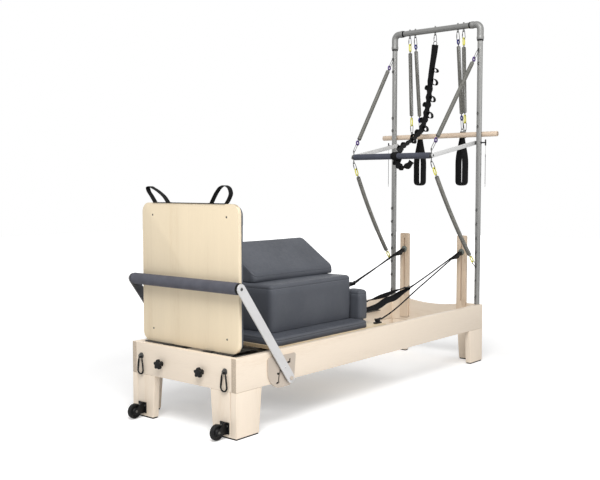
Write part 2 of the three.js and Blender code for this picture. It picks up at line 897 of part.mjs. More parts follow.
function footbarPlateNear() {
  const shape = new THREE.Shape();
  shape.moveTo(plateFootEdge, plateTop - plateCorner);
  shape.lineTo(plateFootEdge, plateBottom + plateFootRadius);
  shape.absarc(plateFootEdge + plateFootRadius, plateBottom + plateFootRadius, plateFootRadius,
    Math.PI, Math.PI * 1.5);
  shape.lineTo(plateTowerFoot - plateCorner * 3, plateBottom);
  shape.lineTo(plateTowerFoot, plateBottom + plateCorner * 2);
  shape.lineTo(plateTowerEdge, plateTop - plateCorner);
  shape.absarc(plateTowerEdge - plateCorner, plateTop - plateCorner, plateCorner, 0, Math.PI / 2);
  shape.absarc(plateFootEdge + plateCorner, plateTop - plateCorner, plateCorner,
    Math.PI / 2, Math.PI);
  shape.holes.push(lockSlot());
  const outer = -halfWidth - plateThickness;
  const plate = plateXZ(shape, outer, -halfWidth, 4);
  const notches = notchAngles.map((degrees) => {
    const [x0, z0] = onSlot(degrees, slotRadius);
    const [x1, z1] = onSlot(degrees, slotRadius + slotHalfWidth + notchDepth);
    return rodBetweenFlat(x0, z0, x1, z1, slotHalfWidth, outer - overrun, -halfWidth + overrun, 2);
  });
  const cutPlate = cut(plate, ...notches);
  const washer = rod('y', washerRadius, outer - washerThickness, outer + plateThickness / 2, pivot);
  const headInner = -armOuter - touchGap;
  const bolt = rod('y', pivotBolt, headInner - pivotHeadThickness, outer + plateThickness / 2, pivot);
  const head = rod('y', pivotHeadRadius, headInner - pivotHeadThickness, headInner, pivot, 12);
  return join(cutPlate, washer, bolt, head);
}

// A round-ended slot between two points of a plane of constant y
function rodBetweenFlat(x0, z0, x1, z1, radius, y0, y1, curveSegments = 3) {
  const angle = Math.atan2(z1 - z0, x1 - x0);
  const shape = new THREE.Shape();
  shape.absarc(x1, z1, radius, angle - Math.PI / 2, angle + Math.PI / 2);
  shape.absarc(x0, z0, radius, angle + Math.PI / 2, angle + Math.PI * 1.5);
  return plateXZ(shape, y0, y1, curveSegments);
}

function footbarFrame() {
  const arms = sides.map((side) => {
    const y0 = Math.min(side * armInner, side * armOuter) + (side > 0 ? touchGap : 0);
    const y1 = Math.max(side * armInner, side * armOuter) - (side < 0 ? touchGap : 0);
    const arm = rodBetweenFlat(pivot.x, pivot.z, gripCentre.x, gripCentre.z, armWidth / 2, y0, y1);
    const bored = cut(arm, rod('y', pivotBolt + boreClearance, y0 - overrun, y1 + overrun, pivot));
    const [studX, studZ] = onSlot(THREE.MathUtils.radToDeg(footbarAngle), slotRadius);
    const stud = rod('y', studRadius, side * (halfWidth + touchGap * 3), side * (armOuter + plateThickness),
      new THREE.Vector3(studX, 0, studZ), 8);
    return [bored, stud];
  }).flat();
  const tube = rod('y', footbarTube, -armInner - armThickness / 2, armInner + armThickness / 2,
    gripCentre, 10);
  return join(...arms, tube);
}

function foamTube(outer, inner, from, to, centre, facets = 16) {
  const profile = [
    [inner, from], [outer - (outer - inner) / 3, from], [outer, from + (outer - inner) / 3],
    [outer, to - (outer - inner) / 3], [outer - (outer - inner) / 3, to], [inner, to], [inner, from],
  ].map(([r, y]) => new THREE.Vector2(r, y));
  return new THREE.LatheGeometry(profile, facets).translate(centre.x, centre.y, centre.z);
}

// Springs

// A wide flat wire wound into a close coil about the z axis from z = 0 upwards. A point of the
// wire at turn t lies at angle 2 pi t and height pitch t, and its five-sided section is crowned.
function coil(length, curls, outer, wall) {
  const pitch = length / (curls + 1);
  const sectionShares = [[-0.5, 0.45], [0, 1], [0.5, 0.45], [0.5, -1], [-0.5, -1]];
  const middle = outer - wall / 2;
  const rows = curls * coilSteps;
  const positions = [];
  const indices = [];
  for (let i = 0; i <= rows; i += 1) {
    const turn = i / coilSteps;
    const angle = turn * Math.PI * 2;
    for (const [along, out] of sectionShares) {
      const radius = middle + (out * wall) / 2;
      positions.push(radius * Math.cos(angle), radius * Math.sin(angle),
        pitch * (turn + 0.5 + along) + coilGap * -along);
    }
  }
  const sidesOfWire = sectionShares.length;
  for (let i = 0; i < rows; i += 1) {
    for (let k = 0; k < sidesOfWire; k += 1) {
      const m = (k + 1) % sidesOfWire;
      const a = i * sidesOfWire;
      const b = a + sidesOfWire;
      indices.push(a + k, a + m, b + m, a + k, b + m, b + k);
    }
  }
  const end = rows * sidesOfWire;
  for (let k = 1; k + 1 < sidesOfWire; k += 1) {
    indices.push(0, k + 1, k, end, end + k, end + k + 1);
  }
  const geometry = new THREE.BufferGeometry();
  geometry.setAttribute('position', new THREE.Float32BufferAttribute(positions, 3));
  geometry.setIndex(indices);
  return outwards(geometry);
}

let leastCoilGap = Infinity;

// Measures on its own points how near one turn of a coil comes to the next
function measureCoil(geometry) {
  const perRow = 5;
  const corners = geometry.attributes.position;
  const a = new THREE.Vector3();
  const b = new THREE.Vector3();
  const turnRows = coilSteps * perRow;
  for (let i = 0; i + turnRows < corners.count; i += perRow) {
    for (let k = 0; k < perRow; k += 1) {
      for (let m = 0; m < perRow; m += 1) {
        a.fromBufferAttribute(corners, i + k);
        b.fromBufferAttribute(corners, i + turnRows + m);
        leastCoilGap = Math.min(leastCoilGap, a.distanceTo(b));
      }
    }
  }
}

// A spring from one eye to another: link, plug, coil, plug, link. A sag bows it sideways in its
// own plane, most at the middle.
function spring(from, to, coilTop, coilFoot, curls, sag = 0) {
  const along = to.clone().sub(from);
  const length = along.length();
  const coilLength = length - coilTop - coilFoot;
  const turns = coil(coilLength, curls, towerSpringRadius, towerSpringWall);
  measureCoil(turns);
  turns.translate(0, 0, coilTop);
  const foot = coilTop + coilLength;
  const ends = [[coilTop, -1, 0], [foot, 1, length]];
  const pieces = ends.flatMap(([edge, out, tip]) => [
    springPlug(edge, out, tip - out * (springLinkLength - springLinkWire)),
    snapHook(springLinkLength, springLinkWidth, springLinkWire, -out).translate(0, 0, tip),
  ]);
  const whole = join(turns, ...pieces);
  const corners = whole.attributes.position;
  for (let i = 0; i < corners.count; i += 1) {
    const share = THREE.MathUtils.clamp(corners.getZ(i) / length, 0, 1);
    corners.setX(i, corners.getX(i) + sag * 4 * share * (1 - share));
  }
  const turn = new THREE.Quaternion().setFromUnitVectors(new THREE.Vector3(0, 0, 1), along.normalize());
  whole.applyQuaternion(turn);
  return whole.translate(from.x, from.y, from.z);
}

// The plug that screws into a coil's end, tapering to the wire that carries the link
function springPlug(edge, out, linkEdge) {
  const radius = towerSpringRadius - towerSpringWall / 2;
  const wire = springLinkWire;
  const profile = [
    [0, edge - out * plugInside], [radius, edge - out * plugInside], [radius, edge + out * plugLength],
    [wire, edge + out * (plugLength + plugTaper)], [wire, linkEdge], [0, linkEdge],
  ].map(([r, z]) => new THREE.Vector2(r, z));
  if (out < 0) profile.reverse();
  return new THREE.LatheGeometry(profile, 6).rotateX(Math.PI / 2);
}

// A snap hook: a pear of wire in the plane of y and z, narrow at its tip at z = 0
function snapHook(length, width, wire, way) {
  const pearShares = [[-0.24, 0], [0.24, 0], [0.5, 0.36], [0.34, 1], [-0.34, 1], [-0.5, 0.36]];
  const points = pearShares.map(([y, z]) => new THREE.Vector3(0, y * width, z * (length - wire) * way));
  return outwards(closedWire(points, wire, 4));
}

// Where a spring's link sits in an eye of so many facets, pulled in the direction given. The
// inside of the eye is a polygon, so its reach depends on where the pull meets a facet.
function seat(eyeCentre, radius, wire, pull, facets = 6) {
  const facet = (Math.PI * 2) / facets;
  const within = (Math.atan2(pull.z, pull.x) + Math.PI * 2) % facet;
  const edge = ((radius - wire) * Math.cos(facet / 2)) / Math.cos(within - facet / 2);
  return eyeCentre.clone().addScaledVector(pull, edge - springLinkWire - touchGap);
}

// A spring between two eyes, each given as [centre, radius, wire, facets]
function springBetweenEyes(eyeA, eyeB, ...coilValues) {
  const pull = eyeB[0].clone().sub(eyeA[0]).normalize();
  const [centreA, ...sizeA] = eyeA;
  const [centreB, ...sizeB] = eyeB;
  const from = seat(centreA, sizeA[0], sizeA[1], pull, sizeA[2]);
  const to = seat(centreB, sizeB[0], sizeB[1], pull.clone().negate(), sizeB[2]);
  return spring(from, to, ...coilValues);
}

// Spring bar across the bed, and the springs from it to the carriage

function springBar() {
  const bar = block(springBarX - springBarThickness, springBarX, -railInside, railInside,
    springBarBottom, springBarBottom + springBarHeight);
  const flange = block(springBarX - springBarHeight, springBarX, -railInside, railInside,
    springBarBottom, springBarBottom + springBarThickness);
  const pegs = bedSpringOffsets.flatMap((y) => {
    const centre = new THREE.Vector3(0, y, bedSpringHeight);
    const end = springBarX + springPegLength;
    return [
      rod('x', springPegRadius, springBarX - springBarThickness / 2, end, centre, 6),
      rod('x', springPegHead, end, end + springPegRadius, centre, 6),
    ];
  });
  return join(bar, flange, ...pegs);
}

const anchorX = bedSpringEnd + touchGap;

// The springs under the carriage are out of sight, so each is a plain closed tube on its wire
function bedSprings() {
  const start = springBarX + springPegLength + springPegRadius + touchGap;
  const end = bedSpringEnd - springPegRadius;
  const coils = bedSpringOffsets.flatMap((y) => {
    const centre = new THREE.Vector3(0, y, bedSpringHeight);
    return [
      rod('x', bedSpringRadius, start + bedSpringHook, end, centre, 8),
      rod('x', springPegRadius, start, start + bedSpringHook + weld, centre, 4),
    ];
  });
  const reach = bedSpringOffsets[bedSpringOffsets.length - 1] + bedSpringRadius;
  const common = rod('y', springPegRadius, -reach, reach, new THREE.Vector3(end, 0, bedSpringHeight), 6);
  return join(...coils, common);
}

// Carriage

const baseTop = carriageBottom + carriageBoard;
const rollerHeight = trackTop + rollerRadius + touchGap;

function carriageBase() {
  const outline = roundedRect(carriageStart, carriageEnd, -carriageHalfWidth, carriageHalfWidth,
    carriageBoard);
  const board = new THREE.ExtrudeGeometry(outline, {
    depth: carriageBoard, bevelEnabled: false, curveSegments: 2,
  }).translate(0, 0, carriageBottom);
  const blocks = rollerPlaces.flatMap((x) => sides.map((side) => {
    const outer = side * carriageHalfWidth;
    const inner = outer - side * rollerBlockWidth;
    return block(x - rollerBlockLength / 2, x + rollerBlockLength / 2, Math.min(outer, inner),
      Math.max(outer, inner), rollerHeight - rollerAxle * 3, carriageBottom + weld);
  }));
  const anchor = block(anchorX, anchorX + anchorWidth, -anchorHalfLength, anchorHalfLength,
    bedSpringHeight - springPegRadius * 3, carriageBottom + weld);
  const bores = rollerPlaces.map((x) => rod('y', rollerAxle + boreClearance, -halfWidth, halfWidth,
    new THREE.Vector3(x, 0, rollerHeight), 10));
  return cut(join(board, ...blocks, anchor, cleatNear(), mirrored(cleatNear())), ...bores);
}

function rollerPair(x) {
  const centre = new THREE.Vector3(x, 0, rollerHeight);
  const inner = carriageHalfWidth + rollerEndGap;
  const outer = inner + rollerWidth;
  const wheels = sides.map((side) => rod('y', rollerRadius, side * inner, side * outer, centre, 16));
  const axle = rod('y', rollerAxle, -outer, outer, centre, 10);
  return join(axle, ...wheels);
}

function carriagePad() {
  const pad = cushion(padLength, padHalfWidth * 2, padHeight, padCorner, padEdge);
  return pad.translate(carriageStart + padLength / 2, 0, baseTop + touchGap);
}

const restFoot = baseTop + restPostHeight;
const restStart = boxStart + boxLength + restGap;
const restFace = restStart + restThickness;

function shoulderRestNear() {
  const centreX = restStart + restThickness / 2;
  const pad = cushion(restThickness, restWidth, restHeight, restCorner, restEdge);
  pad.translate(centreX, -restOffset, restFoot);
  const post = block(centreX - restThickness / 4, centreX + restThickness / 4,
    -restOffset - restWidth / 3, -restOffset + restWidth / 3, baseTop, restFoot + weld * 2);
  const pegX = restFace + ropeLoopThickness + restPeg + restPegGap;
  const pegHeight = restFoot + restPegHeight;
  const loopEdge = -restOffset + ropeLoopWidth / 2;
  const arm = rod('x', restPeg, restFace - restPeg * 2, pegX + restPeg,
    new THREE.Vector3(0, loopEdge + restPeg + touchGap, pegHeight), 8);
  const peg = rod('y', restPeg, -restOffset - ropeLoopWidth / 2 - restPeg, loopEdge + restPeg,
    new THREE.Vector3(pegX, 0, pegHeight), 8);
  return join(pad, post, arm, peg);
}

function headrest() {
  const start = carriageStart + padLength + headGap;
  return cushion(headLength, headWidth, headHeight, headCorner, headEdge)
    .translate(start + headLength / 2, 0, baseTop + touchGap);
}

// A rope cleat: a base with two horns
function cleatNear() {
  const middle = new THREE.Vector3(cleatX, -cleatOffset, baseTop);
  const part = (lengthShare, widthShare, from, to) => block(
    middle.x - cleatLength * lengthShare, middle.x + cleatLength * lengthShare,
    middle.y - cleatWidth * widthShare, middle.y + cleatWidth * widthShare,
    middle.z + from, middle.z + to);
  const base = part(0.5, 0.5, -weld, cleatHeight * 0.25);
  const post = part(0.2, 0.25, 0, cleatHeight * 0.8);
  const hornShares = [
    [-0.5, 1], [-0.5, 0.85], [-0.17, 0.6], [0.17, 0.6], [0.5, 0.85], [0.5, 1], [0, 0.9],
  ];
  const horn = new THREE.Shape(hornShares.map(([along, up]) => new THREE.Vector2(
    middle.x + along * cleatLength, middle.z + up * cleatHeight)));
  const bar = plateXZ(horn, middle.y - cleatWidth / 4, middle.y + cleatWidth / 4);
  return join(base, post, bar);
}

// Sitting box and wedge

const boxFoot = baseTop + padHeight + touchGap * 2;

function sittingBox() {
  return cushion(boxLength, boxWidth, boxHeight, boxCorner, boxEdge)
    .translate(boxStart + boxLength / 2, 0, boxFoot);
}

function wedgeCushion() {
  const wedge = cushion(wedgeLength, wedgeDepth, 1, wedgeCorner, wedgeEdge);
  const corners = wedge.attributes.position;
  for (let i = 0; i < corners.count; i += 1) {
    const share = (corners.getY(i) + wedgeDepth / 2) / wedgeDepth;
    corners.setZ(i, corners.getZ(i) * (wedgeLow + (wedgeHigh - wedgeLow) * share));
  }
  return wedge.translate(wedgeStart + wedgeLength / 2, wedgeNearEdge + wedgeDepth / 2,
    boxFoot + boxHeight + touchGap);
}

// Risers with their pulleys

const riserFront = frameLength - boardThickness + riserHousing - riserThickness;
const pulleyCentre = new THREE.Vector3(riserFront - pulleyReach, -riserOffset, pulleyHeight - pulleyDrop);
const boltCentre = new THREE.Vector3(0, -riserOffset, pulleyHeight);

function riserNear() {
  const back = riserFront + riserThickness;
  const outline = roundedRect(-riserOffset - riserWidth / 2, -riserOffset + riserWidth / 2,
    riserFoot, riserTop, riserCorner);
  const post = plateYZ(outline, riserFront, back, 1);
  const slotOutline = roundedRect(-riserOffset - riserSlotWidth / 2,
    -riserOffset + riserSlotWidth / 2, riserSlotFoot, riserSlotTop, riserSlotWidth / 2 - weld / 4);
  const slot = plateYZ(slotOutline, riserFront - overrun, back + overrun, 2);
  const slotted = cut(post, slot);
  const domeShares = [[1, 0.25], [0.7, 0.75], [0, 1]];
  const domeProfile = [
    [0, -weld], [domeRadius, -weld], ...domeShares.map(([r, out]) => [r * domeRadius, out * domeDepth]),
  ].map(([r, out]) => new THREE.Vector2(r, out));
  const dome = new THREE.LatheGeometry(domeProfile, 10).rotateZ(Math.PI / 2)
    .translate(riserFront, boltCentre.y, boltCentre.z);
  const nut = rod('x', pulleyNut, back - weld, back + pulleyNutDepth, boltCentre, 6);
  const cheekOffset = pulleyWidth / 2 + cheekGap;
  const cheeks = sides.map((side) => {
    const y0 = -riserOffset + side * cheekOffset;
    const y1 = y0 + side * cheekThickness;
    return rodBetweenFlat(pulleyCentre.x - cheekReach, pulleyCentre.z - pulleyDrop / 2, riserFront,
      boltCentre.z, cheekRadius, Math.min(y0, y1), Math.max(y0, y1));
  });
  const trimmed = cheeks.map((cheek) => cut(cheek, block(riserFront, riserFront + overrun * 2,
    -halfWidth, halfWidth, riserFoot, riserTop)));
  const axleReach = cheekOffset + cheekThickness + pulleyAxleHead;
  const axle = rod('y', pulleyAxle, -riserOffset - axleReach, -riserOffset + axleReach, pulleyCentre, 8);
  return join(slotted, dome, nut, ...trimmed, axle);
}

function pulleyWheelNear() {
  const half = pulleyWidth / 2;
  const bore = pulleyAxle + boreClearance;
  const grooveRadius = pulleyRadius - grooveDepth;
  const rimShare = 0.85;
  const grooveShare = 0.4;
  const profile = [
    [bore, -half], [pulleyRadius, -half], [pulleyRadius, -half * rimShare],
    [grooveRadius, -half * grooveShare], [grooveRadius, half * grooveShare],
    [pulleyRadius, half * rimShare], [pulleyRadius, half], [bore, half], [bore, -half],
  ].map(([r, y]) => new THREE.Vector2(r, y));
  return new THREE.LatheGeometry(profile, 14).translate(pulleyCentre.x, pulleyCentre.y, pulleyCentre.z);
}

// Tower

function poleNear() {
  const foot = new THREE.Vector3(poleX, -poleOffset, 0);
  const tube = rod('z', poleRadius, railTop, poleTop, foot, 14);
  const holeAt = (z, radius, facets) => rod('y', radius, -halfWidth - overrun,
    -poleOffset + poleRadius + overrun, new THREE.Vector3(poleX, 0, z), facets);
  const holes = poleHoleHeights.map((z) => holeAt(z, poleHoleRadius, 6));
  const pinHole = holeAt(pushPivotHeight, pinRadius + boreClearance, 10);
  const eyes = poleEyeHeights.map((z) => ring('y', eyeRadius, eyeWire,
    new THREE.Vector3(poleX - poleRadius - eyeRadius, -poleOffset, z)));
  return join(cut(tube, ...holes, pinHole), ...eyes);
}

// The bar across the top with its cast elbows and the eyes below it
function topBar() {
  const bar = rod('y', towerBarRadius, -poleOffset + elbowReach - elbowLap,
    poleOffset - elbowReach + elbowLap,
    new THREE.Vector3(poleX, 0, towerBarHeight), 14);
  const elbows = sides.map((side) => {
    const points = [new THREE.Vector3(poleX, side * poleOffset, poleTop)];
    const bendSteps = 4;
    for (let i = 0; i <= bendSteps; i += 1) {
      const angle = (Math.PI / 2) * (i / bendSteps);
      points.push(new THREE.Vector3(poleX,
        side * (poleOffset - elbowBend + elbowBend * Math.cos(angle)),
        towerBarHeight - elbowBend + elbowBend * Math.sin(angle)));
    }
    points.push(new THREE.Vector3(poleX, side * (poleOffset - elbowReach), towerBarHeight));
    return tubeThrough(points, elbowRadius, 12);
  });
  const eyes = barEyeOffsets.map((y) => ring('y', barEyeRadius, barEyeWire, barEye(y)));
  return join(bar, ...elbows, ...eyes);
}

const barEyeOffsets = [-hangerOffset, -loopOffset, strapOffset, loopOffset, hangerOffset];

function barEye(y) {
  return new THREE.Vector3(poleX, y, towerBarHeight - towerBarRadius - barEyeRadius);
}

// A round tube through points, mitred where it turns. The first section lies square to the
// first stretch, and each next one is the last one carried along without twist.
function tubeThrough(points, radius, facets) {
  const positions = [];
  const indices = [];
  const last = points.length - 1;
  const directions = points.slice(1).map((point, i) => point.clone().sub(points[i]).normalize());
  const side = new THREE.Vector3(0, 0, 1);
  if (Math.abs(directions[0].z) > Math.SQRT1_2) side.set(1, 0, 0);
  side.cross(directions[0]).normalize();
  let section = [];
  for (let k = 0; k < facets; k += 1) {
    const angle = (k / facets) * Math.PI * 2;
    section.push(points[0].clone().addScaledVector(side.clone().applyAxisAngle(directions[0], angle), radius));
  }
  points.forEach((point, i) => {
    if (i > 0) {
      const along = directions[i - 1];
      const next = directions[Math.min(i, last - 1)];
      const mitre = along.clone().add(next).normalize();
      section = section.map((corner) => {
        const reach = point.clone().sub(corner).dot(mitre) / along.dot(mitre);
        return corner.clone().addScaledVector(along, reach);
      });
    }
    section.forEach((corner) => positions.push(corner.x, corner.y, corner.z));
  });
  for (let i = 0; i < last; i += 1) {
    for (let k = 0; k < facets; k += 1) {
      const m = (k + 1) % facets;
      const a = i * facets;
      const b = a + facets;
      indices.push(a + k, a + m, b + m, a + k, b + m, b + k);
    }
  }
  const end = last * facets;
  for (let k = 1; k + 1 < facets; k += 1) indices.push(0, k + 1, k, end, end + k, end + k + 1);
  const geometry = new THREE.BufferGeometry();
  geometry.setAttribute('position', new THREE.Float32BufferAttribute(positions, 3));
  geometry.setIndex(indices);
  return outwards(geometry);
}

// Push bar

const pushPivot = new THREE.Vector3(poleX, 0, pushPivotHeight);
const pushGrip = new THREE.Vector3(poleX - pushReach, 0, pushPivotHeight - pushDrop);

function pushBarFrame() {
  const arms = sides.flatMap((side) => {
    const y0 = side * pushArmOffset - pushArmThickness / 2;
    const y1 = y0 + pushArmThickness;
    const arm = rodBetweenFlat(pushPivot.x, pushPivot.z, pushGrip.x, pushGrip.z, pushArmWidth / 2, y0, y1);
    const outer = side * (pushArmOffset + pushArmThickness / 4);
    const washer = rod('y', pushWasherRadius, outer, side * (poleOffset - poleRadius - touchGap),
      pushPivot);
    const reach = lugSpread - eyeRadius + eyeWire / 2;
    const lug = rod('z', lugRadius, pushGrip.z - reach, pushGrip.z + reach,
      new THREE.Vector3(pushGrip.x, side * lugOffset, 0), 6);
    const rings = sides.map((up) => ring('y', eyeRadius, eyeWire, pushEye(side, up)));
    return [arm, washer, lug, ...rings];
  });
  const tube = rod('y', pushTube, -pushArmOffset, pushArmOffset, pushGrip, 10);
  const whole = join(...arms, tube);
  return cut(whole, rod('y', pinRadius + boreClearance, -halfWidth, halfWidth, pushPivot, 10));
}

// The centre of an eye above or below the end of the push bar
function pushEye(side, up) {
  return new THREE.Vector3(pushGrip.x, side * lugOffset, pushGrip.z + up * lugSpread);
}

const pinHandleAt = -(poleOffset + poleRadius + pinHandleStandoff);

function tPinNear() {
  const surface = -(poleOffset + poleRadius + touchGap);
  const stem = rod('y', pinRadius, pinHandleAt, -pushArmOffset + pushArmThickness, pushPivot, 10);
  const collar = rod('y', pinCollarRadius, surface - pinCollarLength, surface, pushPivot, 10);
  const handle = rod('z', pinHandleRadius, pushPivotHeight - pinHandleLength / 2,
    pushPivotHeight + pinHandleLength / 2, new THREE.Vector3(poleX, pinHandleAt, 0), 8);
  return join(stem, collar, handle);
}

function safetyCordNear() {
  const top = pushPivotHeight - pinHandleLength / 2 - touchGap;
  const points = [
    new THREE.Vector3(poleX, pinHandleAt, top),
    new THREE.Vector3(poleX, pinHandleAt, top - safetyCordLength),
  ];
  return sweep(new THREE.LineCurve3(...points), polygon(safetyCordRadius, 8), 4);
}

function poleEye(side, index) {
  return new THREE.Vector3(poleX - poleRadius - eyeRadius, side * poleOffset, poleEyeHeights[index]);
}

function upperSpringNear() {
  return springBetweenEyes([poleEye(-1, upperEyeIndex), eyeRadius, eyeWire],
    [pushEye(-1, 1), eyeRadius, eyeWire], upperCoilTop, upperCoilFoot, pushCurls);
}

function lowerSpringNear() {
  return springBetweenEyes([poleEye(-1, lowerEyeIndex), eyeRadius, eyeWire],
    [pushEye(-1, -1), eyeRadius, eyeWire], lowerCoilTop, lowerCoilFoot, pushCurls, -lowerSag);
}

// Roll-down bar and hand loops

const rollX = poleX + poleRadius + touchGap + rollBarRadius;

function rollEye(side) {
  return new THREE.Vector3(rollX, side * hangerOffset, rollBarHeight + rollBarRadius + barEyeRadius);
}

function rollDownBar() {
  const half = rollBarLength / 2;
  const edge = rollBarRadius / 4;
  const profile = [
    [0, -half], [rollBarRadius - edge, -half], [rollBarRadius, -half + edge],
    [rollBarRadius, half - edge], [rollBarRadius - edge, half], [0, half],
  ].map(([r, y]) => new THREE.Vector2(r, y));
  const bar = new THREE.LatheGeometry(profile, 16).translate(rollX, 0, rollBarHeight);
  const eyes = sides.map((side) => ring('y', barEyeRadius, barEyeWire, rollEye(side)));
  return join(bar, ...eyes);
}

function hangerSpringNear() {
  return springBetweenEyes([barEye(-hangerOffset), barEyeRadius, barEyeWire],
    [rollEye(-1), barEyeRadius, barEyeWire], hangerCoilTop, hangerCoilFoot, hangerCurls);
}

const loopRingCentre = new THREE.Vector3(rollX + rollBarRadius + touchGap + loopBand / 2, -loopOffset,
  loopTopHeight + loopRingRadius);

function loopSpringNear() {
  return springBetweenEyes([barEye(-loopOffset), barEyeRadius, barEyeWire],
    [loopRingCentre, loopRingRadius, loopRingWire, loopRingFacets], hangerCoilTop, loopCoilFoot,
    hangerCurls);
}

// A padded webbing loop that hangs from its ring: two straight sides that part and close
function handLoopNear() {
  const halfOut = loopWidth / 2;
  const outline = (inset) => {
    const shape = new THREE.Shape();
    const foot = loopTopHeight - loopHeight + halfOut;
    const straightTo = loopTopHeight - loopTaperLength;
    shape.moveTo(-loopTopHalf + inset, loopTopHeight - inset);
    shape.lineTo(-halfOut + inset, straightTo);
    shape.lineTo(-halfOut + inset, foot);
    shape.absarc(0, foot, halfOut - inset, Math.PI, Math.PI * 2);
    shape.lineTo(halfOut - inset, straightTo);
    shape.lineTo(loopTopHalf - inset, loopTopHeight - inset);
    return shape;
  };
  const x = loopRingCentre.x;
  const outer = plateYZ(outline(0), x - loopBand / 2, x + loopBand / 2, 6);
  const inner = plateYZ(outline(loopThickness), x - loopBand, x + loopBand, 6);
  const band = cut(outer, inner).translate(0, -loopOffset, 0);
  const eye = ring('y', loopRingRadius, loopRingWire, loopRingCentre, loopRingFacets);
  return join(band, eye);
}

// The strap with loops hangs by its ring from the middle eye, and wraps round the push bar's grip

function loopStrap() {
  const top = seat(barEye(strapOffset), barEyeRadius, barEyeWire, new THREE.Vector3(0, 0, -1));
  const points = strapRouteShares.map(([along, aside, up]) => new THREE.Vector3(
    pushGrip.x + along * pushReach, aside * strapWidth,
    pushGrip.z + up * (barEye(strapOffset).z - pushGrip.z)));
  const wrapRadius = pushGripRadius + strapThickness / 2 + strapWrapGap;
  const wrapSteps = 8;
  const wrapStartShare = 0.45;
  const wrapShare = 1.25;
  const wrapY = points[points.length - 1].y - strapTurn;
  for (let i = 0; i <= wrapSteps; i += 1) {
    const angle = Math.PI * (wrapStartShare + wrapShare * (i / wrapSteps));
    points.push(new THREE.Vector3(pushGrip.x + wrapRadius * Math.cos(angle),
      wrapY - (strapWrapLean * i) / wrapSteps,
      pushGrip.z + wrapRadius * Math.sin(angle)));
  }
  const band = ribbon(new THREE.CatmullRomCurve3(points), new THREE.Vector3(0, 1, 0), strapWidth,
    strapThickness, strapSteps);
  const hook = snapHook(top.z - points[0].z + strapThickness, strapHookWidth, springLinkWire, -1);
  return join(band, hook.translate(top.x, top.y, top.z));
}

// A flat band along any curve, whose width keeps as near as it can to one direction
function ribbon(curve, across, width, thickness, steps) {
  const positions = [];
  const indices = [];
  for (let i = 0; i <= steps; i += 1) {
    const point = curve.getPoint(i / steps);
    const along = curve.getTangent(i / steps);
    const out = along.clone().cross(across).normalize();
    const wide = out.clone().cross(along).normalize();
    for (const [w, t] of [[-1, -1], [1, -1], [1, 1], [-1, 1]]) {
      const p = point.clone().addScaledVector(wide, (w * width) / 2)
        .addScaledVector(out, (t * thickness) / 2);
      positions.push(p.x, p.y, p.z);
    }
  }
  for (let i = 0; i < steps; i += 1) {
    for (let k = 0; k < 4; k += 1) {
      const m = (k + 1) % 4;
      const a = i * 4;
      indices.push(a + k, a + m, a + 4 + m, a + k, a + 4 + m, a + 4 + k);
    }
  }
  const end = steps * 4;
  indices.push(0, 2, 1, 0, 3, 2, end, end + 1, end + 2, end, end + 2, end + 3);
  const geometry = new THREE.BufferGeometry();
  geometry.setAttribute('position', new THREE.Float32BufferAttribute(positions, 3));
  geometry.setIndex(indices);
  return outwards(geometry);
}

// Traction rope: cleat, round the pulley, back to the ring of the loop on the shoulder rest

function tractionRopeNear() {
  const around = pulleyRadius - grooveDepth + ropeRadius + ropeGap;
  const start = new THREE.Vector3(cleatX + cleatLength / 2 + ropeRadius, -cleatOffset,
    baseTop + cleatRopeHeight);
  const ringAt = new THREE.Vector3(restFace + ropeRingReach, -ropeRingOffset, ropeRingHeight);
  const points = [start, new THREE.Vector3(cleatX + cleatLength, -cleatOffset, start.z)];
  const outlet = (up) => new THREE.Vector3(pulleyCentre.x - ropeOutletReach, -riserOffset,
    ropeOutletHeight + (up * ropeOutletGap) / 2);
  points.push(outlet(-1));
  const from = THREE.MathUtils.degToRad(ropeLeaves);
  const to = THREE.MathUtils.degToRad(ropeReturns);
  const arcSteps = 6;
  for (let i = 0; i <= arcSteps; i += 1) {
    const angle = from + ((to - from) * i) / arcSteps;
    points.push(new THREE.Vector3(pulleyCentre.x + around * Math.cos(angle), pulleyCentre.y,
      pulleyCentre.z + around * Math.sin(angle)));
  }
  points.push(outlet(1));
  points.push(ringAt.clone().add(new THREE.Vector3(loopRingRadius, 0, 0)));
  const middle = outlet(0);
  const toPulley = pulleyCentre.clone().sub(middle).normalize();
  const sleeve = rodBetween(middle.clone().addScaledVector(toPulley, -ropeRadius),
    middle.clone().addScaledVector(toPulley, ropeSleeveLength), ropeSleeveRadius, 8);
  const eye = ring('y', loopRingRadius, loopRingWire, ringAt);
  return join(tubeThrough(points, ropeRadius, 8), sleeve, eye, ropeLoop(ringAt));
}

// The cotton loop from the rope's ring to the peg behind the shoulder rest
function ropeLoop(ringAt) {
  const centreB = new THREE.Vector2(restFace + touchGap + ropeLoopBig, restFoot + restPegHeight);
  const centreA = new THREE.Vector2(ringAt.x - loopRingRadius - ropeLoopThickness, ringAt.z);
  const outline = (inset) => {
    const along = centreA.clone().sub(centreB);
    const angle = along.angle();
    const lean = Math.acos((ropeLoopBig - ropeLoopSmall) / along.length());
    const shape = new THREE.Shape();
    shape.absarc(centreB.x, centreB.y, ropeLoopBig - inset, angle + lean,
      angle - lean + Math.PI * 2);
    shape.absarc(centreA.x, centreA.y, ropeLoopSmall - inset, angle - lean, angle + lean);
    return shape;
  };
  const y0 = -restOffset - ropeLoopWidth / 2;
  const y1 = -restOffset + ropeLoopWidth / 2;
  const outer = plateXZ(outline(0), y0, y1, 4);
  const inner = plateXZ(outline(ropeLoopThickness), y0 - overrun, y1 + overrun, 4);
  const loop = cut(outer, inner);
  const corners = loop.attributes.position;
  for (let i = 0; i < corners.count; i += 1) {
    const share = (corners.getX(i) - restFace) / (ringAt.x - restFace);
    corners.setY(i, corners.getY(i) + (ringAt.y + restOffset) * share);
  }
  return loop;
}

// The whole unit

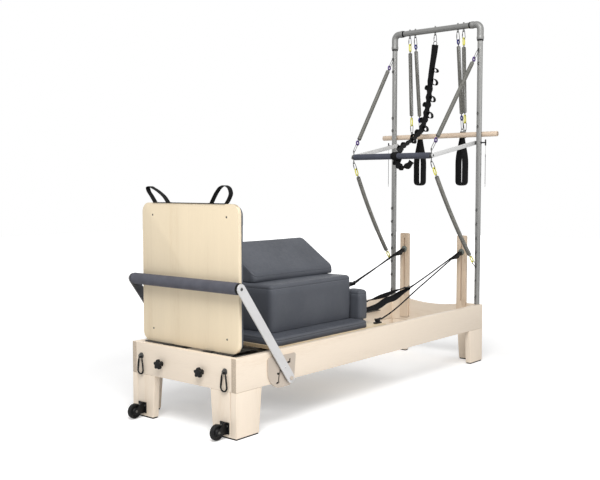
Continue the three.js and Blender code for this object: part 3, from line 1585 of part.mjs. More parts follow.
addPair('side_rail', sideRailNear(), finishes.maple);
add('foot_end_rail', footEndRail(), finishes.maple);
add('tower_end_board', towerEndBoard(), finishes.maple);

const footLegNear = join(legNearFoot(), ...castorBracket(-castorOffset));
const footLegFar = join(mirrored(legNearFoot()), ...castorBracket(castorOffset));
add('leg_foot_near', footLegNear, finishes.maple);
add('leg_foot_far', footLegFar, finishes.maple);
add('leg_tower_far', atTowerEnd(legNearFoot()), finishes.maple);
add('leg_tower_near', atTowerEnd(mirrored(legNearFoot())), finishes.maple);
add('castor_wheel_near', castorWheel(-castorOffset), finishes.blackPlastic);
add('castor_wheel_far', castorWheel(castorOffset), finishes.blackPlastic);

addPair('snap_link', snapLinkNear(), finishes.darkSteel);
addPair('star_knob', starKnobNear(), finishes.blackPlastic);

add('jump_board_panel', jumpBoardPanel(), finishes.ply);
add('jump_board_pad', jumpBoardPad(), finishes.vinyl);
add('jump_board_handles', jumpBoardHandles(), finishes.webbing);

addPair('footbar_plate', footbarPlateNear(), finishes.plateSteel);
add('footbar_frame', footbarFrame(), finishes.silver);
add('footbar_grip', foamTube(gripRadius, footbarTube + boreClearance * 2, -armInner + gripEndGap,
  armInner - gripEndGap, gripCentre), finishes.foam);

add('spring_bar', springBar(), finishes.darkSteel);
add('bed_springs', bedSprings(), finishes.spring);

add('carriage_base', carriageBase(), finishes.ply);
add('carriage_pad', carriagePad(), finishes.vinyl);
addPair('shoulder_rest', shoulderRestNear(), finishes.vinyl);
add('headrest', headrest(), finishes.vinyl);
add('roller_pair_foot', rollerPair(rollerPlaces[0]), finishes.blackPlastic);
add('roller_pair_tower', rollerPair(rollerPlaces[1]), finishes.blackPlastic);
add('sitting_box', sittingBox(), finishes.vinyl);
add('wedge_cushion', wedgeCushion(), finishes.vinyl);

addPair('riser', riserNear(), finishes.riserWood);
addPair('pulley_wheel', pulleyWheelNear(), finishes.blackPlastic);
addPair('traction_rope', tractionRopeNear(), finishes.rope);

addPair('pole', poleNear(), finishes.tube);
add('top_bar', topBar(), finishes.tube);
add('push_bar_frame', pushBarFrame(), finishes.tube);
add('push_bar_grip', foamTube(pushGripRadius, pushTube + boreClearance,
  -pushArmOffset + pushGripEndGap, pushArmOffset - pushGripEndGap, pushGrip), finishes.foam);
addPair('t_pin', tPinNear(), finishes.darkSteel);
addPair('safety_cord', safetyCordNear(), finishes.rope);
addPair('push_spring_upper', upperSpringNear(), finishes.spring);
addPair('push_spring_lower', lowerSpringNear(), finishes.spring);
addPair('hanger_spring', hangerSpringNear(), finishes.spring);
addPair('loop_spring', loopSpringNear(), finishes.spring);
add('roll_down_bar', rollDownBar(), finishes.barWood);
addPair('hand_loop', handLoopNear(), finishes.webbing);
add('loop_strap', loopStrap(), finishes.webbing);

console.log(`least gap between the turns of a coil: ${leastCoilGap.toFixed(2)} mm`);

const bounds = new THREE.Box3().setFromObject(group);
group.position.x = -(bounds.min.x + bounds.max.x) / 2;
group.updateMatrixWorld(true);

export default group;
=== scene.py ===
# %% [markdown]
# # A wooden reformer with a half tower
# The unit is a bed of pale maple on four legs. A padded carriage rolls along it under springs, a
# footbar and a padded jump board stand at the foot end, and a steel tower stands at the other end
# with a push bar, a roll-down bar, springs and loops. The imported CAD model is the frame: it gives
# every place, and most pieces made here ride on one of its bodies.

import bmesh
import bpy
import numpy as np
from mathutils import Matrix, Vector


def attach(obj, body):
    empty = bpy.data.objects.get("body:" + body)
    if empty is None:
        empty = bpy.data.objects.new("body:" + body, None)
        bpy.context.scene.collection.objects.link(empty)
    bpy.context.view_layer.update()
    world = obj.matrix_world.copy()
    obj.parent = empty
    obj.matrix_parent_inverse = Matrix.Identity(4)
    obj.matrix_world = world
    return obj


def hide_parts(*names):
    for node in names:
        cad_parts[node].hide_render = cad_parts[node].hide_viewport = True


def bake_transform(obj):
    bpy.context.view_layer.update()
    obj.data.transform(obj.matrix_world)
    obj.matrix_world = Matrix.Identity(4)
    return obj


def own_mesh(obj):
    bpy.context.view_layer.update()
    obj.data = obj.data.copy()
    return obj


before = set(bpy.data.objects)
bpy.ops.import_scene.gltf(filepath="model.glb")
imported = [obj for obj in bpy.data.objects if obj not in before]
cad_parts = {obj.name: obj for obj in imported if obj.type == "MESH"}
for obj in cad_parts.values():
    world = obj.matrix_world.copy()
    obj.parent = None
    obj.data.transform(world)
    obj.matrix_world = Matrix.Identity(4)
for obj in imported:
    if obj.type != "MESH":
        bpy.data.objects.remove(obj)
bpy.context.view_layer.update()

# %% [markdown]
# ## The camera
# The photograph looks along the bed from the near foot corner, from a little above the carriage.
# A camera could be aimed by hand, but numbers give the same picture on every run. They were fitted
# to the corners of the bed and the tower: a point, a turn, a dip and the lens.

# %% Place the camera
FOOT_END = -1.15505
# The two sides of the bed: the sign of y, and the word for the side in a piece's name
SIDES = ((-1, "near"), (1, "far"))
CAMERA_PLACE = (-3.88645, -3.0039, 1.1504)
CAMERA_TURN, CAMERA_DIP = 39.7485, 3.648
LENS, SENSOR, FAR_LIMIT = 51.35, 36, 60


def make_camera():
    """Looks from the near foot corner along (cos dip cos turn, cos dip sin turn, -sin dip)."""
    camera = bpy.data.objects.new("camera", bpy.data.cameras.new("camera"))
    camera.data.sensor_width = SENSOR
    camera.data.lens = LENS
    camera.data.clip_end = FAR_LIMIT
    turn, dip = np.radians(CAMERA_TURN), np.radians(CAMERA_DIP)
    look = Vector((np.cos(dip) * np.cos(turn), np.cos(dip) * np.sin(turn), -np.sin(dip)))
    camera.location = CAMERA_PLACE
    camera.rotation_euler = look.to_track_quat("-Z", "Y").to_euler()
    bpy.context.scene.collection.objects.link(camera)
    bpy.context.scene.camera = camera
    return camera


camera = make_camera()
print("camera lens:", camera.data.lens, "mm")

# %% [markdown]
# ## Surfaces from numbers
# Pieces could be put together from cubes and curves by hand, but then each size hides in a click.
# Here a piece is worked out as whole arrays, in millimetres from the foot end, and only the mesh is
# in metres. A surface is a grid of points, so a tube, a turned part and a band differ only in the
# formula that fills the grid. A grid also carries a map of the distances along its two directions,
# which the weave, braid and stitch patterns follow.

# %% Grids
# OFF_THE_MAP is where the map of a lid lies, so far away that no stitch falls on it
MERGE, OFF_THE_MAP = 1e-6, 500.0


def travel(points, axis, closed):
    """Distance travelled along one direction of the grid, averaged over the other."""
    if closed:
        points = np.concatenate([points, points[:1] if axis == 0 else points[:, :1]], axis)
    steps = np.linalg.norm(np.diff(points, axis=axis), axis=2).mean(1 - axis)
    return np.concatenate([[0], np.cumsum(steps)])


def surface(points, close_a=False, close_b=False, zero_row=0):
    """Quads between the rows and columns of points[i, j]. A closed direction joins its end to its
    start. The map is (distance round the columns, distance along the rows from zero_row)."""
    rows, columns = points.shape[:2]
    row_ids = np.arange(rows if close_a else rows - 1)
    column_ids = np.arange(columns if close_b else columns - 1)
    i, j = np.meshgrid(row_ids, column_ids, indexing="ij")
    steps = ((0, 0), (0, 1), (1, 1), (1, 0))
    faces = np.stack([((i + a) % rows) * columns + (j + b) % columns for a, b in steps], -1)
    along, across = travel(points, 0, close_a), travel(points, 1, close_b)
    along = along - along[zero_row]
    corner_map = np.stack([np.stack([across[j + b], along[i + a]], -1) for a, b in steps], -2)
    return {
        "points": points.reshape(-1, 3),
        "corners": faces.ravel(),
        "sizes": np.full(faces.size // 4, 4),
        "map": corner_map.reshape(-1, 2),
    }


def lid(ring):
    """Closes a ring of points with one face."""
    return {
        "points": ring,
        "corners": np.arange(len(ring)),
        "sizes": np.array([len(ring)]),
        "map": np.full((len(ring), 2), OFF_THE_MAP),
    }


def together(parts):
    """One shape from several: their points follow each other and their faces are counted on."""
    starts = np.cumsum([0] + [len(p["points"]) for p in parts[:-1]])
    return {
        "points": np.concatenate([p["points"] for p in parts]),
        "corners": np.concatenate([p["corners"] + s for p, s in zip(parts, starts)]),
        "sizes": np.concatenate([p["sizes"] for p in parts]),
        "map": np.concatenate([p["map"] for p in parts]),
    }


def moved(shape, x=0.0, y=0.0, z=0.0):
    """The shape at another place."""
    return {**shape, "points": shape["points"] + np.array([x, y, z])}


def mirrored(shape):
    """The shape on the other side of the bed: y becomes -y. Normals are made right in the mesh."""
    return {**shape, "points": shape["points"] * np.array([1.0, -1.0, 1.0])}


print("grids ready")

# %% Meshes and pieces


def mesh_of(name, shapes, finishes):
    """A mesh in metres from shapes in millimetres. Points that coincide are merged and all faces
    of the closed shells are turned outwards. Each shape keeps the number of its finish."""
    whole = together(shapes)
    numbers = np.concatenate([np.full(len(s["sizes"]), k) for s, k in zip(shapes, finishes)])
    points = whole["points"] / 1000 + np.array([FOOT_END, 0, 0])
    mesh = bpy.data.meshes.new(name)
    mesh.vertices.add(len(points))
    mesh.vertices.foreach_set("co", points.astype(np.float32).ravel())
    mesh.loops.add(len(whole["corners"]))
    mesh.loops.foreach_set("vertex_index", whole["corners"].astype(np.int32))
    mesh.polygons.add(len(whole["sizes"]))
    starts = np.concatenate([[0], np.cumsum(whole["sizes"])[:-1]])
    mesh.polygons.foreach_set("loop_start", starts.astype(np.int32))
    mesh.polygons.foreach_set("material_index", numbers.astype(np.int32))
    mesh.update(calc_edges=True)
    layer = mesh.uv_layers.new(name="lengths")
    layer.data.foreach_set("uv", (whole["map"] / 1000).astype(np.float32).ravel())
    work = bmesh.new()
    work.from_mesh(mesh)
    bmesh.ops.remove_doubles(work, verts=work.verts, dist=MERGE)
    bmesh.ops.recalc_face_normals(work, faces=work.faces)
    work.to_mesh(mesh)
    work.free()
    mesh.validate()
    return mesh


made = []


def piece(name, body, *parts, slot=None, replaces=(), sharp=35):
    """Puts parts, each a finish followed by its shapes, into the scene as one object, on a body if
    one is given.
    """
    shapes = [shape for finish, *some in parts for shape in some]
    numbers = [k for k, (finish, *some) in enumerate(parts) for _ in some]
    mesh = mesh_of(name, shapes, numbers)
    for finish, *_ in parts:
        mesh.materials.append(finish)
    mesh.polygons.foreach_set("use_smooth", np.ones(len(mesh.polygons), bool))
    mesh.set_sharp_from_angle(angle=np.radians(sharp))
    new = bpy.data.objects.new(name, mesh)
    bpy.context.scene.collection.objects.link(new)
    if body:
        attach(new, body)
    if replaces:
        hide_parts(*replaces)
    made.append(new)
    return new


print("meshes and pieces ready")

# %% [markdown]
# ## Profiles carried along paths
# A round bar, a rope and a wire ring are one circle carried along a line, and webbing is a flat
# section carried the same way. A turned part is a profile carried round an axis. A curve with a
# bevel, or the Screw modifier, could make them too, but in arrays the radius and the width may
# change on the way, as on a widening band.

# %% Paths


def unit(vectors):
    """Vectors of length one."""
    return vectors / np.maximum(np.linalg.norm(vectors, axis=-1, keepdims=True), 1e-12)


def bearing(t):
    """The point (cos t, sin t) of the unit circle at each angle."""
    return np.stack([np.cos(t), np.sin(t)], -1)


def distances(points):
    """How far along a line each of its points lies."""
    return np.concatenate([[0], np.cumsum(np.linalg.norm(np.diff(points, axis=0), axis=1))])


def line(start, end, count=2):
    """Points evenly along a straight line."""
    return np.linspace(np.array(start, float), np.array(end, float), count)


def curve_through(points, count):
    """A cubic between each two points, whose slope at a point comes from its two neighbours."""
    points = np.asarray(points, float)
    t = distances(points)
    slopes = np.gradient(points, t, axis=0)
    s = np.linspace(0, t[-1], count)
    k = np.clip(np.searchsorted(t, s, side="right") - 1, 0, len(t) - 2)
    h = (t[k + 1] - t[k])[:, None]
    u = (s - t[k])[:, None] / h
    return ((2 * u**3 - 3 * u**2 + 1) * points[k] + (u**3 - 2 * u**2 + u) * h * slopes[k]
            + (3 * u**2 - 2 * u**3) * points[k + 1] + (u**3 - u**2) * h * slopes[k + 1])


AXES = {"x": np.array([[0, 1, 0], [0, 0, 1], [1, 0, 0]], float),
        "y": np.array([[1, 0, 0], [0, 0, 1], [0, 1, 0]], float),
        "z": np.array([[1, 0, 0], [0, 1, 0], [0, 0, 1]], float)}


def arc(middle, radius, start, end, facing, count=16):
    """Part of a circle whose plane faces an axis: middle + r (a cos t + b sin t), t in degrees."""
    a, b, _ = AXES[facing]
    t = np.radians(np.linspace(start, end, count))[:, None]
    return np.array(middle, float) + radius * (a * np.cos(t) + b * np.sin(t))


print("paths ready")

# %% Sections along a path


def sides_of(path, up, closed):
    """Two directions square to a path at each point: out = along x up, and over = out x along."""
    if closed:
        along = unit(np.roll(path, -1, 0) - np.roll(path, 1, 0))
    else:
        along = unit(np.gradient(path, axis=0))
    out = unit(np.cross(along, np.broadcast_to(np.asarray(up, float), along.shape)))
    return out, np.cross(out, along)


def carried(path, section, up, closed=False):
    """Each point p of the path gets the section: p + a out + b over. Open ends get a lid."""
    path = np.asarray(path, float)
    out, over = sides_of(path, up, closed)
    section = np.asarray(section, float)
    if section.ndim == 2:
        section = np.broadcast_to(section, (len(path), *section.shape))
    grid = path[:, None] + section[..., :1] * out[:, None] + section[..., 1:] * over[:, None]
    shapes = [surface(grid, closed, True)]
    return together(shapes if closed else shapes + [lid(grid[0]), lid(grid[-1])])


def circle(radius, count=12):
    """Points (r cos t, r sin t)."""
    return radius * bearing(np.linspace(0, 2 * np.pi, count, endpoint=False))


def tube(path, radius, up=(0, 0, 1), closed=False, count=12):
    """A round bar or wire along a path. The radius may change from point to point."""
    radius = np.broadcast_to(radius, (len(path),))
    return carried(path, radius[:, None, None] * circle(1, count), up, closed)


def wire_ring(radius, wire, middle, facing, count=28, sides=10):
    """A ring of round wire whose plane faces an axis."""
    path = arc(middle, radius, 0, 360, facing, count + 1)[:-1]
    return tube(path, wire, AXES[facing][2], True, sides)


def oblong(thickness, width, ease, count=4):
    """A flat section with rounded corners: quarter circles of the given size at its corners."""
    t = np.linspace(0, np.pi / 2, count)
    signs = np.array([[1, 1], [-1, 1], [-1, -1], [1, -1]])
    middles = signs * [thickness / 2 - ease, width / 2 - ease]
    turns = [t + k * np.pi / 2 for k in range(4)]
    return np.concatenate([m + ease * bearing(q) for m, q in zip(middles, turns)])


def band(path, width, thickness, across, closed=False):
    """Webbing: a flat section along a path, with its width kept near one direction."""
    return carried(path, oblong(thickness, width, thickness * 0.45), across, closed)


print("sections ready")

# %% Turned parts


def turned(profile, middle, axis, count=32):
    """A profile of (radius r, height h along the axis) carried round that axis: each point is
    middle + r (a cos t + b sin t) + h c."""
    a, b, c = AXES[axis]
    t = np.linspace(0, 2 * np.pi, count, endpoint=False)[None, :, None]
    radius, height = np.array(profile, float).T[:, :, None, None]
    points = np.array(middle, float) + radius * (a * np.cos(t) + b * np.sin(t)) + height * c
    return surface(points, False, True)


def towards(side, profile):
    """The same profile with its heights counted towards one side of the bed."""
    return [(radius, side * height) for radius, height in profile]


def eased(radius, low, high, ease, steps=3):
    """Profile of a cylinder whose two rims are quarter circles of the given size."""
    t = np.linspace(0, np.pi / 2, steps + 1)
    foot = np.stack([radius - ease + ease * np.sin(t), low + ease - ease * np.cos(t)], -1)
    head = np.stack([radius - ease + ease * np.cos(t), high - ease + ease * np.sin(t)], -1)
    return [(0, low), *map(tuple, foot), *map(tuple, head), (0, high)]


def disc(radius, low, high, middle, axis, ease=0.8, count=32):
    """A cylinder with eased rims, from low to high along the axis from its middle."""
    return turned(eased(radius, low, high, ease), middle, axis, count)


def nut(radius, low, high, middle, axis):
    """A hexagon nut or bolt head: a turned part of six sides with chamfered rims."""
    profile = [(0, low), (radius * 0.88, low), (radius, low + 0.8), (radius, high - 0.8),
               (radius * 0.88, high), (0, high)]
    return turned(profile, middle, axis, 6)


print("turned parts ready")

# %% [markdown]
# ## Boards
# A board is its outline drawn in a little at both faces, ring by ring, so its edges are softly
# rounded as sanded maple is. A cube with a Bevel modifier would look alike, but rings also give
# round ends, curved outlines and, with an inner outline in the same surface, a slot.

# %% Outlines and boards


def outline(length, width, corner, inset=0.0, straight=2, arc_count=5):
    """A rounded rectangle drawn in by inset: the corners keep their centres and lose radius."""
    radius = max(corner - inset, 0.4)
    half = np.array([length / 2 - inset - radius, width / 2 - inset - radius])
    signs = np.array([[1, -1], [1, 1], [-1, 1], [-1, -1]])
    t = np.linspace(-np.pi / 2, 0, arc_count)
    arcs = [s * half + radius * bearing(t + k * np.pi / 2) for k, s in enumerate(signs)]
    runs = [np.concatenate([bend, np.linspace(bend[-1], arcs[(k + 1) % 4][0], straight + 1)[1:-1]])
            for k, bend in enumerate(arcs)]
    return np.concatenate(runs)


PLANES = {"xy": [[1, 0, 0], [0, 1, 0], [0, 0, 1]], "xz": [[1, 0, 0], [0, 0, 1], [0, 1, 0]],
          "yz": [[0, 1, 0], [0, 0, 1], [1, 0, 0]]}


def in_plane(flat, height, plane):
    """Flat points set into a plane at a height along the third direction."""
    points = np.column_stack([flat, np.full(len(flat), float(height))])
    return points @ np.array(PLANES[plane], float)


def drawn_in(flat, inset):
    """An outline drawn in: each point moves against the mean normal of its two neighbours."""
    ahead = np.roll(flat, -1, 0)
    along = unit(ahead - np.roll(flat, 1, 0))
    way = np.sign(np.sum(flat[:, 0] * ahead[:, 1] - ahead[:, 0] * flat[:, 1]))
    return flat - way * inset * np.stack([along[:, 1], -along[:, 0]], -1)


def edge_levels(low, high, ease, steps=3):
    """(inset, height) up a board's edge: e (1 - sin t) at e (1 - cos t), and back at the top."""
    t = np.linspace(0, np.pi / 2, steps + 1)
    levels = [(ease * (1 - np.sin(a)), low + ease * (1 - np.cos(a))) for a in t]
    return levels + [(ease * (1 - np.cos(a)), high - ease * (1 - np.sin(a))) for a in t]


def stack(rings):
    """A closed shape through rings of points, each with as many points, and lids at both ends."""
    grid = np.stack(rings)
    return together([surface(grid, False, True), lid(grid[0]), lid(grid[-1])])


def slab(flat, low, high, ease, plane):
    """A plate of any outline with softened edges."""
    flat, levels = np.asarray(flat, float), edge_levels(low, high, ease)
    return stack([in_plane(drawn_in(flat, inset), height, plane) for inset, height in levels])


def board(low, high, ease=2.0):
    """A straight board between two corners of its box, with softened edges all round."""
    low, high = np.array(low, float), np.array(high, float)
    size, middle = high - low, (low + high) / 2
    rings = [in_plane(outline(size[0], size[1], ease * 1.01, inset) + middle[:2], h, "xy")
             for inset, h in edge_levels(low[2], high[2], ease)]
    return stack(rings)


def stadium(a, b, radius, count=10):
    """The outline of a bar with round ends between two points of a plane."""
    a, b = np.array(a, float), np.array(b, float)
    turn = np.arctan2(*(b - a)[::-1])
    t = np.linspace(-np.pi / 2, np.pi / 2, count) + turn
    return np.concatenate([b + radius * bearing(t), a - radius * bearing(t)])


print("boards ready")

# %% [markdown]
# ## Finishes
# A finish is a small tree of nodes on one Principled shader. Photographs of wood or cloth could be
# wrapped round the pieces, but they repeat and have seams, so every pattern is a formula at its
# real scale. What is the same all over is set on the shader's own sockets.

# %% Node helpers


def lin(*rgb):
    """A colour read off as 0 to 255, made linear: ((c + 0.055) / 1.055) ^ 2.4 above 0.04045."""
    c = np.array(rgb) / 255
    c = np.where(c <= 0.04045, c / 12.92, ((c + 0.055) / 1.055) ** 2.4)
    return (*map(float, c), 1.0)


def shade(colour, share):
    """The same colour with its three values brought down to a share."""
    return lin(*(c * share for c in colour))


def new_finish(name, **values):
    """A material with constants on its shader's sockets, given by name with _ for a space."""
    finish = bpy.data.materials.new(name)
    finish.use_nodes = True
    sockets = finish.node_tree.nodes["Principled BSDF"].inputs
    for socket, value in values.items():
        sockets[socket.replace("_", " ")].default_value = value
    return finish


def node(finish, kind, *links, **settings):
    """Adds a node. Links are (socket, source or value); settings are its own properties."""
    new = finish.node_tree.nodes.new("ShaderNode" + kind)
    for setting, value in settings.items():
        setattr(new, setting, value)
    for socket, source in links:
        if isinstance(source, bpy.types.NodeSocket):
            finish.node_tree.links.new(source, new.inputs[socket])
        else:
            new.inputs[socket].default_value = source
    return new


def place(finish, scale=(1, 1, 1), source="Object"):
    """The piece's own coordinates, or its map of distances, stretched by a scale each way."""
    coordinates = node(finish, "TexCoord").outputs[source]
    return node(finish, "Mapping", ("Vector", coordinates), ("Scale", scale)).outputs[0]


def split(finish, vector):
    """The sockets of a vector's x, y and z."""
    return node(finish, "SeparateXYZ", (0, vector)).outputs


def noise(finish, vector, scale, detail=2.0, distortion=0.0):
    """A soft random value between 0 and 1 whose cells are 1 / scale wide."""
    return node(finish, "TexNoise", ("Vector", vector), ("Scale", scale), ("Detail", detail),
                ("Distortion", distortion)).outputs["Fac"]


def maths(finish, operation, *values):
    """A sum, product or other operation on values."""
    return node(finish, "Math", *enumerate(values), operation=operation).outputs[0]


def weighted(finish, first, share, second, other_share):
    """first x share + second x other share."""
    return maths(finish, "ADD", maths(finish, "MULTIPLY", first, share),
                 maths(finish, "MULTIPLY", second, other_share))


def mix(finish, factor, first, second):
    """One colour turned into another by a factor. Sockets 6 and 7 are the node's two colours."""
    return node(finish, "Mix", ("Factor", factor), (6, first), (7, second),
                data_type="RGBA").outputs[2]


def ramp(finish, factor, *stops):
    """A colour from a value: stops are (place, colour)."""
    new = node(finish, "ValToRGB", ("Fac", factor))
    elements = new.color_ramp.elements
    while len(elements) < len(stops):
        elements.new(0.5)
    for element, (position, colour) in zip(elements, stops):
        element.position, element.color = position, colour
    return new.outputs["Color"]


def spread(finish, factor, low, high, from_low=0.3, from_high=0.7):
    """A value moved from one range to another and kept inside it."""
    return node(finish, "MapRange", ("Value", factor), ("From Min", from_low),
                ("From Max", from_high), ("To Min", low), ("To Max", high)).outputs[0]


def bumps(finish, *layers):
    """Heights laid over each other: each is (height, distance in metres, strength)."""
    normal = None
    for height, distance, strength in layers:
        links = [("Height", height), ("Distance", distance), ("Strength", strength)]
        if normal:
            links.append(("Normal", normal))
        normal = node(finish, "Bump", *links).outputs[0]
    return normal


def feed(finish, **sources):
    """Links patterns to the shader's sockets."""
    shader = finish.node_tree.nodes["Principled BSDF"]
    for socket, source in sources.items():
        finish.node_tree.links.new(source, shader.inputs[socket.replace("_", " ")])
    return finish


print("node helpers ready")

# %% [markdown]
# Maple, birch ply and beech show fine straight fibres, slow bands of growth along the board, and a
# darker face where the board is sawn across. A scan could show this, but only for boards of its
# own size. Here the grain is a noise stretched along the board, and the sawn ends are found from
# the direction that a face looks in.

# %% Wood
GRAIN_STRETCH, SEAM_HALF, SEAM_DEPTH, STAVE_DRIFT = 0.07, 0.0006, 0.06, 0.16


def wood(name, pale, deep, grain, staves=0.0, bands=9.0):
    """Tone = 0.75 growth + 0.35 fibre, two noises stretched along the grain. Staves are bands of y
    of that width, each with its own tone and a dark seam. Faces square to the grain are sawn."""
    finish = new_finish(name, Roughness=0.45, Coat_Weight=0.2, Coat_Roughness=0.25)
    lengthwise = "xyz".index(grain)
    stretched = [1.0, 1.0, 1.0]
    stretched[lengthwise] = GRAIN_STRETCH
    vector = place(finish, stretched)
    growth = noise(finish, vector, bands, 3, 0.8)
    fibre = noise(finish, vector, 320.0, 2)
    tone = weighted(finish, growth, 0.75, fibre, 0.35)
    if staves:
        across = split(finish, place(finish))[1]
        count = maths(finish, "FLOOR", maths(finish, "DIVIDE", across, staves))
        stave = node(finish, "TexWhiteNoise", ("W", count), noise_dimensions="1D").outputs["Value"]
        from_seam = maths(finish, "PINGPONG", across, staves / 2)
        seam = maths(finish, "GREATER_THAN", from_seam, SEAM_HALF)
        tone = maths(finish, "ADD", tone, maths(finish, "MULTIPLY", stave, STAVE_DRIFT))
        dip = maths(finish, "SUBTRACT", SEAM_DEPTH, maths(finish, "MULTIPLY", seam, SEAM_DEPTH))
        tone = maths(finish, "SUBTRACT", tone, dip)
    colour = ramp(finish, tone, (0.28, lin(*deep)), (0.52, lin(*pale)),
                  (0.85, lin(*(min(255, c + 6) for c in pale))))
    facing = split(finish, node(finish, "TexCoord").outputs["Normal"])[lengthwise]
    sawn = spread(finish, maths(finish, "ABSOLUTE", facing), 0, 1, 0.6, 0.8)
    pores = ramp(finish, noise(finish, place(finish), 240.0, 3),
                 (0.3, shade(deep, 0.74)), (0.7, shade(deep, 0.93)))
    return feed(finish, Base_Color=mix(finish, sawn, colour, pores),
                Roughness=spread(finish, growth, 0.38, 0.52),
                Normal=bumps(finish, (fibre, 0.0002, 0.25), (growth, 0.0006, 0.12)))


MAPLE, MAPLE_DEEP = (238, 223, 204), (228, 209, 186)
maple_x = wood("maple_along_x", MAPLE, MAPLE_DEEP, "x")
maple_y = wood("maple_along_y", MAPLE, MAPLE_DEEP, "y")
maple_z = wood("maple_along_z", MAPLE, MAPLE_DEEP, "z")
ply = wood("birch_ply", (234, 217, 187), (224, 203, 169), "z", staves=0.066)
deck_ply = wood("deck_ply", (228, 208, 174), (208, 182, 144), "x")
beech = wood("riser_beech", (219, 198, 174), (200, 174, 146), "z", bands=14.0)
dowel = wood("bar_beech", (227, 206, 183), (208, 182, 155), "y", bands=14.0)
print("wood finishes:", 7)

# %% [markdown]
# The cushions are covered in slate leatherette: a fine pebble, a slow drift of tone where the cover
# is stretched, a seam painted a little lighter, as rubbed wear and as a painted highlight where the
# rounded edge catches the light, and a row of stitches beside it. Each stitch could be a small
# mesh, but a pattern costs no faces. It reads the map of distances, which is zero on the seam, so
# it follows the seam round every corner.

# %% Leatherette
# In metres: how far the stitches run from the seam, half their width, their step and their length
STITCH_AWAY, STITCH_HALF, STITCH_STEP, STITCH_LENGTH = 0.0052, 0.0006, 0.0048, 0.0034
# How far from the seam the wear and the painted highlight reach, in metres
WEAR_AND_HIGHLIGHT_REACH = 0.009


def leatherette(name, colour, deep, seam):
    """Pebble from cells 1.2 mm wide, drift from broad noise, and wear with a painted highlight =
    nearness to the seam times creases, towards the seam colour. A stitch lies where the way along
    the seam, modulo the step, is below its length."""
    finish = new_finish(name, Roughness=0.5, Specular_IOR_Level=0.3, Coat_Weight=0.05,
                        Coat_Roughness=0.35)
    vector = place(finish)
    drift = noise(finish, vector, 5.0, 2)
    cells = node(finish, "TexVoronoi", ("Vector", vector), ("Scale", 850.0)).outputs["Distance"]
    creases = noise(finish, vector, 42.0, 4, 1.2)
    base = ramp(finish, drift, (0.3, lin(*deep)), (0.7, lin(*colour)))
    around, away = split(finish, place(finish, source="UV"))[:2]
    distance = maths(finish, "ABSOLUTE", away)
    # Painted highlight and wear: towards the seam the colour turns to the seam's lighter one
    wear_and_highlight_fade = spread(finish, distance, 0.55, 0, 0.0, WEAR_AND_HIGHLIGHT_REACH)
    wear_and_highlight = maths(finish, "MULTIPLY", wear_and_highlight_fade, spread(finish, creases, 0.5, 1.0))
    row = maths(finish, "COMPARE", distance, STITCH_AWAY, STITCH_HALF)
    dash = maths(finish, "LESS_THAN", maths(finish, "MODULO", around, STITCH_STEP), STITCH_LENGTH)
    stitch = maths(finish, "MULTIPLY", row, dash)
    tone = mix(finish, stitch, mix(finish, wear_and_highlight, base, lin(*seam)), shade(seam, 0.72))
    layers = [(cells, 0.00025, 0.35), (creases, 0.0008, 0.16), (stitch, 0.0006, 0.8)]
    return feed(finish, Base_Color=tone, Roughness=spread(finish, creases, 0.42, 0.58),
                Normal=bumps(finish, *layers))


# The third colour is the seam's: wear and a painted highlight, and the stitches are a darker share
# of it
slate = leatherette("slate_leatherette", (82, 85, 92), (72, 75, 82), (106, 110, 118))
print("leatherette ready")

# %% [markdown]
# The metals differ in colour and in how broken their shine is: satin tube, brushed plate, bright
# links. Foam, moulded plastic and rubber are dull with a fine skin. An anisotropic shader could
# brush the steel, but a stretched noise in the roughness does it too and survives the export.

# %% Metal, foam, plastic and rubber


def metal(name, colour, roughness, metallic=1.0, streaks=(1, 1, 1), scale=90.0, drift=0.06):
    """A drift of tone and of roughness, stretched along the direction it was brushed or drawn."""
    finish = new_finish(name, Metallic=metallic, Roughness=roughness)
    brushed = noise(finish, place(finish, streaks), scale, 3)
    slow = noise(finish, place(finish), 7.0, 2)
    tone = ramp(finish, weighted(finish, brushed, 0.5, slow, 0.5),
                (0.3, shade(colour, 1 - drift)), (0.7, lin(*colour)))
    return feed(finish, Base_Color=tone,
                Roughness=spread(finish, brushed, roughness - 0.06, roughness + 0.08),
                Normal=bumps(finish, (brushed, 0.00008, 0.2)))


def moulded(name, colour, roughness, grain=600.0, depth=0.00015, drift=0.2):
    """A fine skin of bumps and a slow drift of tone."""
    finish = new_finish(name, Roughness=roughness, Specular_IOR_Level=0.28)
    vector = place(finish)
    skin = noise(finish, vector, grain, 3)
    slow = noise(finish, vector, 18.0, 3)
    tone = ramp(finish, slow, (0.3, shade(colour, 1 - drift)), (0.7, lin(*colour)))
    return feed(finish, Base_Color=tone,
                Roughness=spread(finish, slow, roughness - 0.06, roughness + 0.06),
                Normal=bumps(finish, (skin, depth, 0.5)))


def paint_inner_shade(finish, inner, turned_in=-0.15):
    """The same finish with a painted shade, another colour, on the faces that look inwards, where y
    times the normal's y is below the given value."""
    shader = finish.node_tree.nodes["Principled BSDF"]
    outer = shader.inputs["Base Color"].links[0].from_socket
    coordinates = node(finish, "TexCoord").outputs
    spot = split(finish, coordinates["Object"])[1]
    facing = split(finish, coordinates["Normal"])[1]
    # Painted shade: faces that look inwards get the darker colour
    shade_mask = maths(finish, "LESS_THAN", maths(finish, "MULTIPLY", spot, facing), turned_in)
    slow = noise(finish, place(finish), 20.0, 2)
    dark = ramp(finish, slow, (0.3, shade(inner, 0.9)), (0.7, lin(*inner)))
    return feed(finish, Base_Color=mix(finish, shade_mask, outer, dark))


